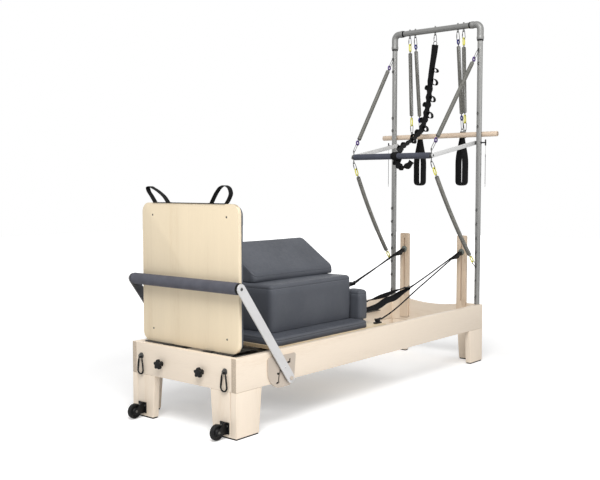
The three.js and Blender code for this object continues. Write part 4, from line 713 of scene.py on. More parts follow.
tower_steel = metal("tower_steel", (152, 152, 150), 0.28, 0.6, (1, 1, 0.05), 400.0)
bar_steel = metal("top_bar_steel", (144, 144, 142), 0.28, 0.6, (1, 0.05, 1), 400.0)
cast_steel = metal("cast_elbow", (150, 150, 148), 0.5, 0.6, (1, 1, 1), 260.0, 0.1)
push_silver = metal("push_arm_silver", (222, 222, 221), 0.42, 0.25, (0.2, 1, 0.2), 300.0, 0.04)
arm_silver = metal("arm_silver", (216, 215, 215), 0.42, 0.25, (0.2, 1, 0.2), 300.0, 0.04)
# The inner faces of the footbar arms get a painted shade of dark grey
paint_inner_shade(arm_silver, (98, 100, 105))
plate_champagne = metal("plate_champagne", (204, 191, 177), 0.42, 0.3, (0.08, 1, 1), 500.0)
spring_steel = metal("spring_steel", (138, 137, 131), 0.55, 0.55, (1, 1, 1), 120.0, 0.14)
bright = metal("bright_link_steel", (88, 88, 88), 0.32, 0.9, (1, 1, 1), 160.0)
zinc = metal("zinc_fixings", (106, 106, 104), 0.38, 0.85, (1, 1, 1), 300.0, 0.12)
dark_steel = metal("dark_steel", (62, 62, 64), 0.42, 0.7, (1, 1, 1), 200.0, 0.2)
dome_paint = moulded("dome_paint", (112, 118, 112), 0.4, 500.0, 0.0001, 0.12)
black = moulded("black_plastic", (12, 12, 13), 0.5)
# Besides rubber, this finish paints the shade on the tray under the carriage and in the screw
# sockets, and darkens the footbar plates' slots
dull_black = moulded("black_rubber_and_shade", (11, 11, 12), 0.8, 900.0, 0.0003)
foam = moulded("grip_foam", (94, 95, 104), 0.86, 1300.0, 0.0005, 0.12)
push_foam = moulded("push_grip_foam", (80, 83, 95), 0.8, 1300.0, 0.0005, 0.12)
yellow = moulded("yellow_ring", (238, 230, 60), 0.38, 400.0, 0.0001, 0.08)
navy = moulded("navy_ring", (38, 38, 128), 0.36, 400.0, 0.0001, 0.15)
purple = moulded("purple_ring", (92, 62, 138), 0.36, 400.0, 0.0001, 0.15)
hub_grey = moulded("hub_grey", (96, 97, 100), 0.5)
print("metals, foams and plastics ready")

# %% [markdown]
# Webbing and rope are woven. Threads could be modelled one by one, but at this distance they are
# finer than a pixel, so the weave is a pattern of heights that reads the map of distances: ribs
# run across the band and picks along it, and the strands of the braid cross each other.

# %% Webbing and rope


def woven(name, colour, light, rib, pick, slant=0.0, depth=0.0004):
    """Height = |sin(pi (u / rib + s v / rib))| |sin(pi (v / pick - s u / pick))|, with s the slant,
    and a painted highlight makes the raised threads lighter than the hollows."""
    finish = new_finish(name, Roughness=0.9, Specular_IOR_Level=0.25)
    u, v = split(finish, place(finish, source="UV"))[:2]
    waves = []
    for first, second, size, lean in ((u, v, rib, slant), (v, u, pick, -slant)):
        turn = weighted(finish, first, np.pi / size, second, np.pi * lean / size)
        waves.append(maths(finish, "ABSOLUTE", maths(finish, "SINE", turn)))
    height = maths(finish, "MULTIPLY", *waves)
    fuzz = noise(finish, place(finish), 260.0, 3)
    # Painted highlight: the raised threads are lighter than the hollows between them
    tone = ramp(finish, weighted(finish, height, 0.6, fuzz, 0.4),
                (0.2, lin(*colour)), (0.85, lin(*light)))
    return feed(finish, Base_Color=tone,
                Normal=bumps(finish, (height, depth, 0.7), (fuzz, 0.0003, 0.3)))


# The second colour of each weave is its painted highlight on the raised threads
webbing = woven("black_webbing", (4, 4, 5), (17, 17, 19), 0.0024, 0.0016)
rope_black = woven("black_rope", (8, 8, 9), (34, 34, 36), 0.0037, 0.0045, 0.9)
cotton_black = woven("black_cotton", (5, 5, 6), (20, 20, 22), 0.0031, 0.0021)
lanyard = woven("pale_lanyard", (176, 176, 172), (226, 226, 222), 0.0012, 0.0016, 0.8, 0.0002)
print("woven finishes ready")

# %% [markdown]
# ## The lanyards of the pins
# Each T pin of the push bar hangs on a thin cord, pale where it is tied to the handle and black
# below, which ends in a frayed pale tip. A simulation could let them hang, but a limp cord with no
# load is a straight line, so each is a tube straight down, 250 mm long as the photograph shows,
# and 3 mm thick. They are the only free cords, so they are made first.

# %% Lanyards
CORD_LENGTH, CORD_RADIUS, PIN_X, PIN_Y, PIN_Z = 250.0, 1.5, 2303.0, 374.5, 1427.0
# A cord is a line of 24 points, and the first 6 of them are its pale part
CORD_POINTS, CORD_PALE = 24, 6
cord_top = PIN_Z - 20.3
for side, where in SIDES:
    heights = np.linspace(cord_top, cord_top - CORD_LENGTH, CORD_POINTS)
    route = np.full((CORD_POINTS, 3), [PIN_X, side * PIN_Y, 0.0])
    route[:, 2] = heights
    upper, lower = route[:CORD_PALE], route[CORD_PALE - 1:]
    whipping = moved(turned([(0, 0), (2.1, 0.4), (2.1, 11.6), (0, 12)],
                            (PIN_X, side * PIN_Y, 0), "z", 12), z=heights[CORD_PALE] - 6)
    cord = piece(f"safety_cord_{where}", f"pin_{where}",
                 (rope_black, tube(lower, CORD_RADIUS, (0, 1, 0), count=10)),
                 (lanyard, tube(upper, CORD_RADIUS, (0, 1, 0), count=10)), (dull_black, whipping),
                 slot="rope", replaces=[f"safety_cord_{where}"])
    spread_out = np.array([(-2.0, -1.2), (0.2, 1.8), (2.2, -0.6)])
    strands = [tube(curve_through([(PIN_X, side * PIN_Y, heights[-1] + 2),
                                   (PIN_X + a * 0.5, side * (PIN_Y + b * 0.5), heights[-1] - 6),
                                   (PIN_X + a * 2, side * (PIN_Y + b * 2), heights[-1] - 15)], 7),
                    0.6, (0, 1, 0), count=6) for a, b in spread_out]
    tip = piece(f"cord_tip_{where}", f"pin_{where}", (lanyard, *strands), slot="rope")
print("lanyards:", CORD_LENGTH, "mm each")

# %% [markdown]
# ## The studio
# A wide soft lamp stands above the camera's left, so the shadow falls to the right, and a weaker
# one fills from the right. A picture of a studio could light the scene, but it would tint the
# colours. The world is white where the camera, a reflection or a transmission sees it, and weaker
# as a light. The floor keeps the shadow at half its depth, as the photograph's does.

# %% Floor, world and lamps
FLOOR_LIFT, FLOOR_REACH = 0.3, 14.0


def make_floor():
    """A pale square. To the camera its lit colour gets a share of white added, more the further it
    is from the object, so that the floor is white to the horizon and keeps the shadow."""
    mesh = bpy.data.meshes.new("floor")
    corners = FLOOR_REACH * np.array([(-1, -1, 0), (1, -1, 0), (1, 1, 0), (-1, 1, 0)])
    mesh.from_pydata(corners.tolist(), [], [(0, 1, 2, 3)])
    floor = bpy.data.objects.new("floor", mesh)
    bpy.context.scene.collection.objects.link(floor)
    finish = new_finish("studio_floor", Roughness=0.9)
    grain = noise(finish, place(finish), 3.0, 2)
    pale = ramp(finish, grain, (0.3, lin(243, 243, 243)), (0.7, lin(246, 246, 246)))
    feed(finish, Base_Color=pale)
    shader = finish.node_tree.nodes["Principled BSDF"]
    away = node(finish, "VectorMath", (0, place(finish)), operation="LENGTH").outputs["Value"]
    lift = spread(finish, away, FLOOR_LIFT, 1.0, 1.5, 4.5)
    seen = node(finish, "LightPath").outputs["Is Camera Ray"]
    glow = node(finish, "Emission", ("Strength", maths(finish, "MULTIPLY", seen, lift)))
    both = node(finish, "AddShader", (0, shader.outputs[0]), (1, glow.outputs[0]))
    out = finish.node_tree.nodes["Material Output"]
    finish.node_tree.links.new(both.outputs[0], out.inputs["Surface"])
    mesh.materials.append(finish)


def make_world(strength):
    """White to the camera, to reflections and to transmission, and a weaker fill to surfaces."""
    world = bpy.data.worlds.new("studio")
    bpy.context.scene.world = world
    world.use_nodes = True
    path = node(world, "LightPath").outputs
    seen = maths(world, "ADD", path["Is Camera Ray"], path["Is Glossy Ray"])
    both = node(world, "Math", (0, seen), (1, path["Is Transmission Ray"]), operation="ADD",
                use_clamp=True).outputs[0]
    background = world.node_tree.nodes["Background"].inputs
    world.node_tree.links.new(spread(world, both, strength, 1.0, 0.0, 1.0), background["Strength"])
    background["Color"].default_value = (1, 1, 1, 1)


def lamp(name, place_at, aim, size, power):
    """A square area lamp with its size in metres and its power in watts, aimed at a point."""
    data = bpy.data.lights.new(name, "AREA")
    data.size, data.energy = size, power
    new = bpy.data.objects.new(name, data)
    new.location = place_at
    new.rotation_euler = (Vector(aim) - Vector(place_at)).to_track_quat("-Z", "Y").to_euler()
    bpy.context.scene.collection.objects.link(new)


make_floor()
make_world(0.36)
lamp("key", (-3.4, -2.4, 4.6), (-0.2, 0, 0.5), 2.8, 246)
lamp("fill", (0.8, -5.0, 2.6), (0.0, 0, 0.7), 4.0, 50)
bpy.context.scene.view_settings.view_transform = "Standard"
print("studio ready")

# %% [markdown]
# ## The bed
# Two side rails run the whole length, and their sawn ends show at the corners. The end boards sit
# between them. Under each corner two tapered boards meet in an L on a rubber pad. The CAD's boxes
# could be kept, but their edges are sharp, so the straight boards are made anew. The tower end
# board's curved outline is exact in the CAD, so it stays and a Bevel softens it.

# %% Rails and end boards
LENGTH, HALF, RAIL_TOP, RAIL_FOOT, BOARD = 2320.0, 360.0, 373.0, 217.0, 30.0
for side, where in SIDES:
    rail = board((0, -HALF, RAIL_FOOT), (LENGTH, -HALF + BOARD, RAIL_TOP), 2.5)
    track = [board((200, -334, 292), (2120, -326, 328), 0.8),
             board((200, -330, 292), (2120, -308, 296), 0.8)]
    parts = [rail, *track] if side < 0 else [mirrored(rail), *map(mirrored, track)]
    piece(f"rail_{where}", "frame", (maple_x, parts[0]), (zinc, *parts[1:]), slot="maple",
          replaces=[f"side_rail_{where}"])


def soften(name, finish, width):
    """Keeps a CAD node: its corners are welded, its edges get a bevel, and it gets a finish."""
    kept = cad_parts[name]
    weld = kept.modifiers.new("weld", "WELD")
    weld.merge_threshold = 1e-5
    bevel = kept.modifiers.new("soft edges", "BEVEL")
    bevel.width, bevel.segments, bevel.limit_method = width, 2, "ANGLE"
    bevel.angle_limit = np.radians(30)
    for kept_slot in kept.material_slots:
        kept_slot.material = finish
    if not kept.material_slots:
        kept.data.materials.append(finish)


soften("tower_end_board", maple_y, 0.002)
print("rails:", LENGTH, "x", RAIL_TOP - RAIL_FOOT, "x", BOARD, "mm")

# %% Legs on rubber pads
PAD, LEG, LEG_TOP = 7.0, 36.0, RAIL_FOOT - 0.2
# How far the two boards of a leg reach from their corner, at the foot and at the top
SIDE_REACH, END_REACH = (151, 171), (150, 166)


def tapered(shape, share_x, share_y):
    """A board that grows upwards: its distance from the corner times 1 + (s - 1) height share."""
    points = shape["points"].copy()
    up = (points[:, 2] - PAD) / (RAIL_FOOT - PAD)
    points[:, 0] *= 1 + (share_x - 1) * up
    points[:, 1] = -HALF + (points[:, 1] + HALF) * (1 + (share_y - 1) * up)
    return {**shape, "points": points}


def leg_boards(back):
    """The L at the near corner of the foot end, or turned to the tower end by x -> length - x."""
    side_board = board((0, -HALF, PAD), (SIDE_REACH[0], -HALF + LEG, LEG_TOP), 2)
    end_board = board((0, -HALF + LEG, PAD), (LEG, -HALF + END_REACH[0], LEG_TOP), 2)
    shapes = [tapered(side_board, SIDE_REACH[1] / SIDE_REACH[0], 1),
              tapered(end_board, 1, END_REACH[1] / END_REACH[0]),
              board((3, -HALF + 3, 0), (148, -HALF + 33, PAD + 0.5), 1.2),
              board((3, -HALF + 30, 0), (33, -HALF + 147, PAD + 0.5), 1.2)]
    if back:
        shapes = [{**s, "points": s["points"] * [-1, 1, 1] + [LENGTH, 0, 0]} for s in shapes]
    return shapes


for end, back in (("foot", False), ("tower", True)):
    for side, where in SIDES:
        shapes = leg_boards(back) if side < 0 else map(mirrored, leg_boards(back))
        side_board, end_board, *pads = shapes
        piece(f"leg_{end}_{where}_wood", "frame", (maple_z, side_board, end_board),
              (dull_black, *pads), slot="maple", replaces=[f"leg_{end}_{where}"])
print("legs: 4, each of two boards")

# %% [markdown]
# ## Hardware of the foot end
# The end board carries two round hook plates with black snap links, two star knobs that clamp the
# jump board's tongues, and a castor beside each leg for wheeling the unit away. They could be put
# together from ready cylinders, but turned profiles and wires on a line give their rims the true
# rounding.

# %% Foot end board and hook plates
HOOK_Y, HOOK_Z, EYE_X = 290.0, 308.0, -9.0
EYE_RADIUS, EYE_WIRE = 10, 2.6
hook_plate = [(0, -4), (12.4, -4), (14.6, -3.2), (15, -2), (15, 0.5), (0, 0.5)]
rivet = [(0, -5.4), (2.4, -5.2), (3.6, -4), (0, -3.9)]
hooks = []
for side in (-1, 1):
    hooks += [turned(hook_plate, (0, side * HOOK_Y, HOOK_Z), "x", 40),
              *[turned(rivet, (0, side * HOOK_Y, HOOK_Z + up), "x", 16) for up in (9.5, -9.5)],
              wire_ring(EYE_RADIUS, EYE_WIRE, (EYE_X, side * HOOK_Y, HOOK_Z), "y", 32, 12)]
foot_board = board((0, -HALF + BOARD, RAIL_FOOT), (BOARD, HALF - BOARD, RAIL_TOP), 1.2)
piece("foot_end_board", "frame", (maple_y, foot_board), (zinc, *hooks), slot="maple",
      replaces=["foot_end_rail"])
print("foot end board with 2 hook plates")

# %% Snap links
LINK_LENGTH, THIN_WIRE, LINK_WIRE, GATE_WIRE = 92, 2.75, 4.0, 4.6
# The link hangs in the lowest part of the eye, which has eight sides in the CAD
LINK_TOP = HOOK_Z - (EYE_RADIUS * np.cos(np.pi / 8) - EYE_WIRE) + THIN_WIRE + 0.3


def snap_link(side):
    """A pear of wire: a small arc at the top, a larger at the foot, straight legs, and a gate whose
    barrel is thicker than the wire."""
    top_radius, foot_radius = 12.25, 19.25
    top = arc((EYE_X, 0, LINK_TOP - top_radius), top_radius, 0, 180, "x", 18)
    foot_z = LINK_TOP - LINK_LENGTH + foot_radius + 5.5
    foot = arc((EYE_X, 0, foot_z), foot_radius, 180, 360, "x", 24)
    legs = [line(top[-1], foot[0], 14)[1:-1], line(foot[-1], top[0], 30)[1:-1]]
    path = np.concatenate([top, legs[0], foot, legs[1]])
    radius = np.full(len(path), LINK_WIRE)
    radius[:len(top)] = THIN_WIRE
    gate = len(top) + len(legs[0]) + len(foot)
    radius[gate + 4:gate + 22] = GATE_WIRE
    path[:, 1] += side * HOOK_Y
    head = [(0, -0.6), (1.6, -0.5), (1.8, 0), (0, 0)]
    screw = [turned(head, (EYE_X - 3.1, *path[gate + k, 1:]), "x", 12) for k in (2, 24)]
    return [tube(path, radius, (1, 0, 0), True, 12)], screw


for side, where in SIDES:
    link, screws = snap_link(side)
    piece(f"snap_link_{where}_wire", f"link_{where}", (black, *link), (zinc, *screws),
          slot="dark_steel", replaces=[f"snap_link_{where}"])
print("snap links: 2, each", LINK_LENGTH, "mm long")

# %% Star knobs
KNOB_Y, KNOB_Z = 141.0, 286.0


def star_knob(side):
    """Five lobes: radius = 21 + 4 cos 5t, drawn in at both faces, round a boss with a steel nut."""
    t = np.linspace(0, 2 * np.pi, 120, endpoint=False)
    lobed = (21 + 4 * np.cos(5 * t))[:, None] * np.stack([np.sin(t), np.cos(t)], -1)
    levels = ((0.60, -35.0), (0.86, -34.4), (0.96, -32.4), (1.0, -29.5), (1.0, -19),
              (0.95, -15.6), (0.84, -14), (0.5, -13.6))
    rings = [in_plane(lobed * share, x, "yz") for share, x in levels]
    head = moved(stack(rings), y=side * KNOB_Y, z=KNOB_Z)
    middle = (0, side * KNOB_Y, KNOB_Z)
    boss = turned([(0, -36.2), (5.5, -36), (8.5, -35.2), (9.2, -34), (0, -33)], middle, "x", 32)
    hub_profile = [(0, -24), (10, -24), (10, -2.2), (12.5, -1.8), (12.5, -0.3), (0, -0.3)]
    hub = turned(hub_profile, middle, "x", 32)
    stud = disc(5, -14, 30, middle, "x", 0.6, 20)
    return head, boss, hub, stud


for side, where in SIDES:
    head, boss, hub, stud = star_knob(side)
    piece(f"star_knob_{where}_lobes", f"knob_{where}", (black, head, boss, hub), (zinc, stud),
          slot="black_plastic", replaces=[f"star_knob_{where}"], sharp=50)
print("star knobs: 2")

# %% Castors
AXLE_X, AXLE_Z, CASTOR_Y = -52.0, 39.0, 287.0


def castor_bracket(offset):
    """A plate on the leg, one cheek out to the axle with a round end, two bolts and the axle."""
    plate = board((-4, offset - 29, 22), (2, offset + 29, 76), 1.2)
    ear = np.concatenate([[(0, 22), (0, 76), (-22, 76)],
                          arc((AXLE_X, 0, AXLE_Z), 15, 78, 270, "y", 16)[:, [0, 2]], [(-30, 22)]])
    cheek = slab(ear, offset - 16.9, offset - 12.9, 0.8, "xz")
    axle = disc(5, offset - 16.9, offset + 16, (AXLE_X, 0, AXLE_Z), "y", 0.5, 20)
    bolts = [nut(5, -7.2, -3.8, (0, offset + side * 19.3, 60), "x") for side in (-1, 1)]
    head = nut(8, offset + 12.9, offset + 16, (AXLE_X, 0, AXLE_Z), "y")
    boss = nut(7, offset - 18.4, offset - 16.8, (AXLE_X, 0, AXLE_Z), "y")
    return [plate, cheek], [axle, head, boss, *bolts]


def castor_wheel(offset):
    """Profile of a tyre on a dished hub: rounded tread, a groove, a web and a boss."""
    half = [(5.3, 12), (13, 12), (14, 10.8), (17, 7), (25, 6.6), (28, 8.4), (29.4, 10.8),
            (32, 11.6), (35, 10.4), (36.6, 7.4), (37, 3.6)]
    profile = [*towards(-1, half), *half[::-1], (5.3, -12)]
    return turned(profile, (AXLE_X, offset, AXLE_Z), "y", 64)


for side, where in SIDES:
    plates, steel = castor_bracket(side * CASTOR_Y)
    piece(f"castor_bracket_{where}", "frame", (black, *plates), (zinc, *steel), slot="dark_steel",
          replaces=[f"leg_foot_{where}"])
    grooves = [wire_ring(13.2, 0.8, (AXLE_X, side * CASTOR_Y + face, AXLE_Z), "y", 40, 8)
               for face in (-12, 12)]
    piece(f"castor_{where}_tyre", f"castor_{where}", (black, castor_wheel(side * CASTOR_Y)),
          (hub_grey, *grooves), slot="black_plastic", replaces=[f"castor_wheel_{where}"])
print("castors: 2")

# %% [markdown]
# ## The jump board
# A pale ply panel stands on the foot end on two steel tongues, which the star knobs clamp. Black
# steel shoes spread the load under it, and their black also paints the shade in the gap under the
# panel's corners. A thin pad covers its other face, and two loops of webbing on its top edge are
# there to carry it by. They could be simulated as cloth, but stiff webbing keeps the bend it was
# sewn with, so each follows a smooth line of points.

# %% Panel, tongues and shoes
JUMP_FACE, JUMP_BACK, JUMP_LOW, JUMP_HIGH = 50.0, 68.0, 378.0, 1066.0
JUMP_HALF, JUMP_CORNER = 332.0, 46.0
TONGUE_HALF, TONGUE_FACE = 25, 30.3
jump_flat = outline(2 * JUMP_HALF, JUMP_HIGH - JUMP_LOW, JUMP_CORNER, 0, 4, 14)
jump_flat = jump_flat + [0, (JUMP_HIGH + JUMP_LOW) / 2]
panel = slab(jump_flat, JUMP_FACE, JUMP_BACK, 1.6, "yz")
screws, sockets = [], []
for y in (-255, 255):
    for z in (443, 1006):
        head = [(0, -0.5), (4.4, -0.5), (5.2, 0.1), (0, 0.2)]
        screws.append(turned(head, (JUMP_FACE, y, z), "x", 20))
        # A dark hexagon on each screw head paints the shade in its socket
        sockets.append(nut(2.2, -1.0, -0.45, (JUMP_FACE, y, z), "x"))
steel = []
for side in (-1, 1):
    near, far = side * KNOB_Y - TONGUE_HALF, side * KNOB_Y + TONGUE_HALF
    steel.append(board((TONGUE_FACE, near, 253), (36.3, far, 378.9), 1))
    # The shoes are black steel, and their black also paints the shade in the gap under the panel's
    # corners
    ends = sorted((near + side * 40, side * KNOB_Y + side * 160))
    steel.append(board((TONGUE_FACE, ends[0], 373.8), (JUMP_BACK, ends[1], 378.4), 1))
    steel.append(board((TONGUE_FACE, near, 373.8), (JUMP_BACK, far, 378.5), 1))
piece("jump_board_ply", "jump_board", (ply, panel), (zinc, *screws), (dull_black, *sockets),
      (dark_steel, *steel), slot="birch_ply", replaces=["jump_board_panel"])
print("jump board:", 2 * JUMP_HALF, "x", JUMP_HIGH - JUMP_LOW, "mm")

# %% Handles
HANDLE_Y, HANDLE_X, HANDLE_WIDTH, HANDLE_POINTS = 196.0, 59.0, 28, 48
# (y, height over the board) along each webbing loop: the far one lies folded over outwards
NEAR_HANDLE = [(-150, 0), (-164, 26), (-184, 54), (-212, 76), (-244, 81), (-270, 69), (-279, 46),
               (-266, 20), (-248, 0)]
FAR_HANDLE = [(150, 0), (176, 24), (212, 47), (254, 68), (280, 77), (294, 72), (290, 58),
              (268, 32), (244, 0)]


def handle(points):
    """Webbing on a smooth line through the points, a little twisted: x = middle + 4 sin 2t."""
    line_of = [(HANDLE_X, y, JUMP_HIGH + 2.2 + height) for y, height in points]
    path = curve_through(line_of, HANDLE_POINTS)
    path[:, 0] += 4 * np.sin(np.linspace(0, 2 * np.pi, HANDLE_POINTS))
    return band(path, HANDLE_WIDTH, 3.0, (1, 0, 0))


strip = board((HANDLE_X - 13, -HANDLE_Y - 52, JUMP_HIGH + 0.2),
              (HANDLE_X + 13, HANDLE_Y + 52, JUMP_HIGH + 2.4), 1)
staples = [nut(3.4, 2.2, 3.6, (HANDLE_X, y, JUMP_HIGH), "z") for y in (-236, -130, 130, 236)]
piece("jump_board_webbing", "jump_board",
      (webbing, handle(NEAR_HANDLE), handle(FAR_HANDLE), strip), (zinc, *staples),
      slot="webbing", replaces=["jump_board_handles"])
print("handles: 2, of webbing", HANDLE_WIDTH, "mm wide")

# %% [markdown]
# ## Cushions
# The upholstery is leatherette drawn tight over foam on a board. A cloth simulation could shape
# it, but a cover this tight doesn't drape. So a cushion is a stack of rings of a rounded rectangle:
# a small round foot, a side that swells a little, a seam, a quarter-circle edge and a low crown up
# to the middle. The outline pulls in between the corners, the corners have small pleats, and the
# foot ripples where it is stapled.

# %% The cushion surface
PLEATS = 17


def cushion(length, width, low, high, corner, edge, middle=(0.0, 0.0), plane="xy", crown=3.0,
            pull=3.0, swell=1.6, pleat=0.7, straight=16):
    """Ring heights: foot 3 (1 - cos t), side up to high - crown - edge, edge sin t, then
    high - crown s^4 for a ring drawn to the share s of its size. Insets: foot 3 (1 - sin t),
    swell (1 - sin pi u) up the side, edge (1 - cos t). Along a side of length L the outline is
    pulled in by pull (1 - (2 y / L)^2)."""
    rise, foot = high - low, 3.0
    t = np.linspace(0, np.pi / 2, 4)
    shoulder = rise - crown - edge
    levels = [(swell + foot * (1 - np.sin(a)), foot * (1 - np.cos(a)), 1) for a in t]
    u = np.linspace(0, 1, 8)[1:-1]
    levels += [(swell * (1 - np.sin(np.pi * v)), foot + (shoulder - 2.4 - foot) * v, 1) for v in u]
    seam = len(levels) + 1
    levels += [(swell * 0.9, shoulder - 1.7, 1), (swell * 0.9 + 1.1, shoulder, 1),
               (swell * 0.7, shoulder + 1.7, 1)]
    t = np.linspace(0, np.pi / 2, 9)[2:]
    levels += [(swell * 0.4 * np.cos(a) + edge * (1 - np.cos(a)), shoulder + edge * np.sin(a), 1)
               for a in t]
    shares = np.array([0.985, 0.95, 0.88, 0.74, 0.5, 0.25])
    levels += [(edge, rise - crown * s**4, s) for s in shares]

    spot = np.arange(PLEATS)
    folds = np.sin(np.pi * spot / (PLEATS - 1)) * (spot % 2)
    folds = np.tile(np.concatenate([folds, np.zeros(straight - 1)]), 4)
    turn = np.linspace(0, 2 * np.pi, len(folds), endpoint=False)
    ripple = (0.35 * np.sin(7 * turn + 1.3) + 0.3 * np.sin(17 * turn + 0.4)
              + 0.25 * np.sin(29 * turn + 2.1))
    half = np.array([length, width]) / 2
    rings = []
    for inset, height, share in levels:
        near_seam = np.exp(-((height - shoulder) / (edge * 0.7)) ** 2) if share == 1 else 0.0
        near_foot = np.exp(-height / 9.0) if share == 1 else 0.0
        flat = outline(length, width, corner, inset, straight, PLEATS)
        deeper = outline(length, width, corner, inset + 1, straight, PLEATS)
        flat = flat + (deeper - flat) * (pleat * folds * (near_seam + near_foot)
                                         + ripple * (near_foot + 0.25))[:, None]
        places = flat / half
        pulled = 1 - (pull / half) * (1 - np.clip(places[:, ::-1] ** 2, 0, 1))
        rings.append(in_plane(flat * pulled * share + middle, low + height, plane))
    pole = np.tile(np.array(middle, float), (len(folds), 1))
    poles = [in_plane(pole, height, plane) for height in (low, high)]
    return surface(np.stack([poles[0], *rings, poles[1]]), False, True, seam + 1)


def upholstered(name, body, shape, replaces, extra=()):
    """A padded piece in slate leatherette."""
    new = piece(name, body, (slate, shape), *extra, slot="upholstery", replaces=replaces, sharp=60)
    return new


print("cushion surface ready")

# %% Pads of the jump board and the carriage
PAD_FOOT, PAD_TOP = 370.3, 412.3
upholstered("jump_board_cushion", "jump_board",
            cushion(652, 676, 68.3, 92.3, 46, 10, (0, 722), "yz", 1.5, 2.0, 1.0),
            ["jump_board_pad"])
upholstered("carriage_cushion", "carriage",
            cushion(762, 604, PAD_FOOT, PAD_TOP, 34, 14, (731, 0), crown=2.0), ["carriage_pad"])
upholstered("headrest_cushion", "head",
            cushion(162, 226, PAD_FOOT, PAD_TOP, 30, 13, (1205, 0), crown=3.0, pull=2.0),
            ["headrest"])
print("pads:", 3)

# %% Sitting box and wedge
upholstered("box_cushion", "box",
            cushion(672, 390, 412.6, 655.6, 38, 22, (768, 0), crown=2.0, pull=2.5, swell=3.0),
            ["sitting_box"])

WEDGE_NEAR, WEDGE_DEPTH, WEDGE_LOW, WEDGE_HIGH, WEDGE_FOOT = -56.0, 236.0, 42.0, 204.0, 655.9
# The top band of the wedge, with its edge and crown, keeps its shape where the side is shortened
TOP_BAND = 18


def wedge():
    """A cushion as high as the wedge's high side, whose side is shortened across its depth: with
    H = low + (high - low) share, heights h near the top become H - (top - h), and those below the
    seam are scaled to fit."""
    tall = cushion(666, WEDGE_DEPTH, 0, WEDGE_HIGH, 30, 15, (781, WEDGE_NEAR + WEDGE_DEPTH / 2),
                   crown=3.0, pull=2.0, swell=2.0)
    points = tall["points"].copy()
    share = (points[:, 1] - WEDGE_NEAR) / WEDGE_DEPTH
    here = WEDGE_LOW + (WEDGE_HIGH - WEDGE_LOW) * share
    knee, foot = WEDGE_HIGH - TOP_BAND, 3.0
    h = points[:, 2]
    scaled = foot + (h - foot) * (here - TOP_BAND - foot) / (knee - foot)
    top, side = here - (WEDGE_HIGH - h), np.where(h <= foot, h, scaled)
    points[:, 2] = WEDGE_FOOT + np.where(h >= knee, top, side)
    return {**tall, "points": points}


upholstered("wedge_cover", "wedge", wedge(), ["wedge_cushion"])
print("box and wedge ready")

# %% Shoulder rests
REST_Y, REST_LOW, REST_HIGH, PEG_X, PEG_Z = 186.0, 406.0, 572.0, 1199.5, 458.0
for side, where in SIDES:
    middle = side * REST_Y
    upholstered(f"shoulder_pad_{where}", "carriage",
                cushion(78, 120, REST_LOW, REST_HIGH, 26, 24, (1149, middle), crown=3.0, pull=1.5,
                        swell=2.0), [f"shoulder_rest_{where}"])
    low, high = sorted((side * 146, side * 226))
    post = [board((1129.5, low, 370), (1168.5, high, 408), 2.5)]
    arm_y, reach = side * 160.7, sorted((side * 161, side * 211))
    steel = [disc(6, 1176, 1205.5, (0, arm_y, PEG_Z), "x", 1.5, 20),
             disc(6, reach[0], reach[1], (PEG_X, 0, PEG_Z), "y", 2, 20),
             disc(12, 1187.2, 1189.6, (0, arm_y, PEG_Z), "x", 0.8, 24)]
    piece(f"shoulder_post_{where}", "carriage", (black, *post), (dark_steel, *steel),
          slot="black_plastic", replaces=[f"shoulder_rest_{where}"])
print("shoulder rests: 2")

# %% [markdown]
# ## The carriage
# The carriage is a ply board on four rollers that run on the steel tracks. The springs pull on an
# angle across its underside, and the ropes are wound round two black cleats at its tower end. The
# turns could be rings one over another, but a rope climbs, so each winding is one oval spiral.

# %% Board, blocks and cleats
CLEAT_X, CLEAT_Y = 1254.0, 262.0


def cleat(side):
    """Base, post and a horn whose line rises to both ends and whose radius shrinks towards them."""
    y = side * CLEAT_Y
    base = slab(outline(58, 26, 7, 0, 2, 6) + [CLEAT_X, y], 369.5, 377.5, 2, "xy")
    post = slab(outline(23, 13, 5, 0, 2, 6) + [CLEAT_X, y], 376, 394, 1, "xy")
    s = np.linspace(-1, 1, 25)
    line_of = np.stack([CLEAT_X + 28.4 * s, np.full(25, y), 391.5 + 5.5 * s**2], -1)
    horn = tube(line_of, 3.4 + 3.0 * (1 - s**2), (0, 1, 0), count=16)
    bolts = [nut(3.6, 377.3, 379.6, (CLEAT_X + k * 19, y, 0), "z") for k in (-1, 1)]
    return [base, post, horn], bolts


def winding(side):
    """Rope round the post: an oval (15.5 cos t, 10.4 sin t) of two and a half turns whose height
    rises by 6.4 t / (5.6 pi)."""
    last = 5.6 * np.pi
    t = np.linspace(0.5 * np.pi, last, 90)
    across = side * CLEAT_Y + side * 10.4 * np.sin(t)
    oval = np.stack([CLEAT_X + 15.5 * np.cos(t), across, 381.2 + 6.4 * t / last], -1)
    return tube(oval, 3.3, (0, 0, 1), count=10)


deck = slab(outline(942, 608, 19, 0, 4, 8) + [821, 0], 351, 370, 2, "xy")
blocks = [board((x - 28, y, 303.3), (x + 28, y + 26, 352), 2)
          for x in (430, 1210) for y in (-304, 278)]
angle = board((760.3, -247, 278), (786.3, 247, 352), 2)
cleats = [cleat(side) for side in (-1, 1)]
cleat_bodies = [shape for body, _ in cleats for shape in body]
cleat_bolts = [bolt for _, bolts in cleats for bolt in bolts]
piece("carriage_board", "carriage", (deck_ply, deck), (black, *blocks, *cleat_bodies),
      (dark_steel, angle), (zinc, *cleat_bolts), slot="birch_ply", replaces=["carriage_base"])
piece("cleat_windings", "carriage", (rope_black, winding(-1), winding(1)), slot="rope")
print("carriage board with 2 cleats")

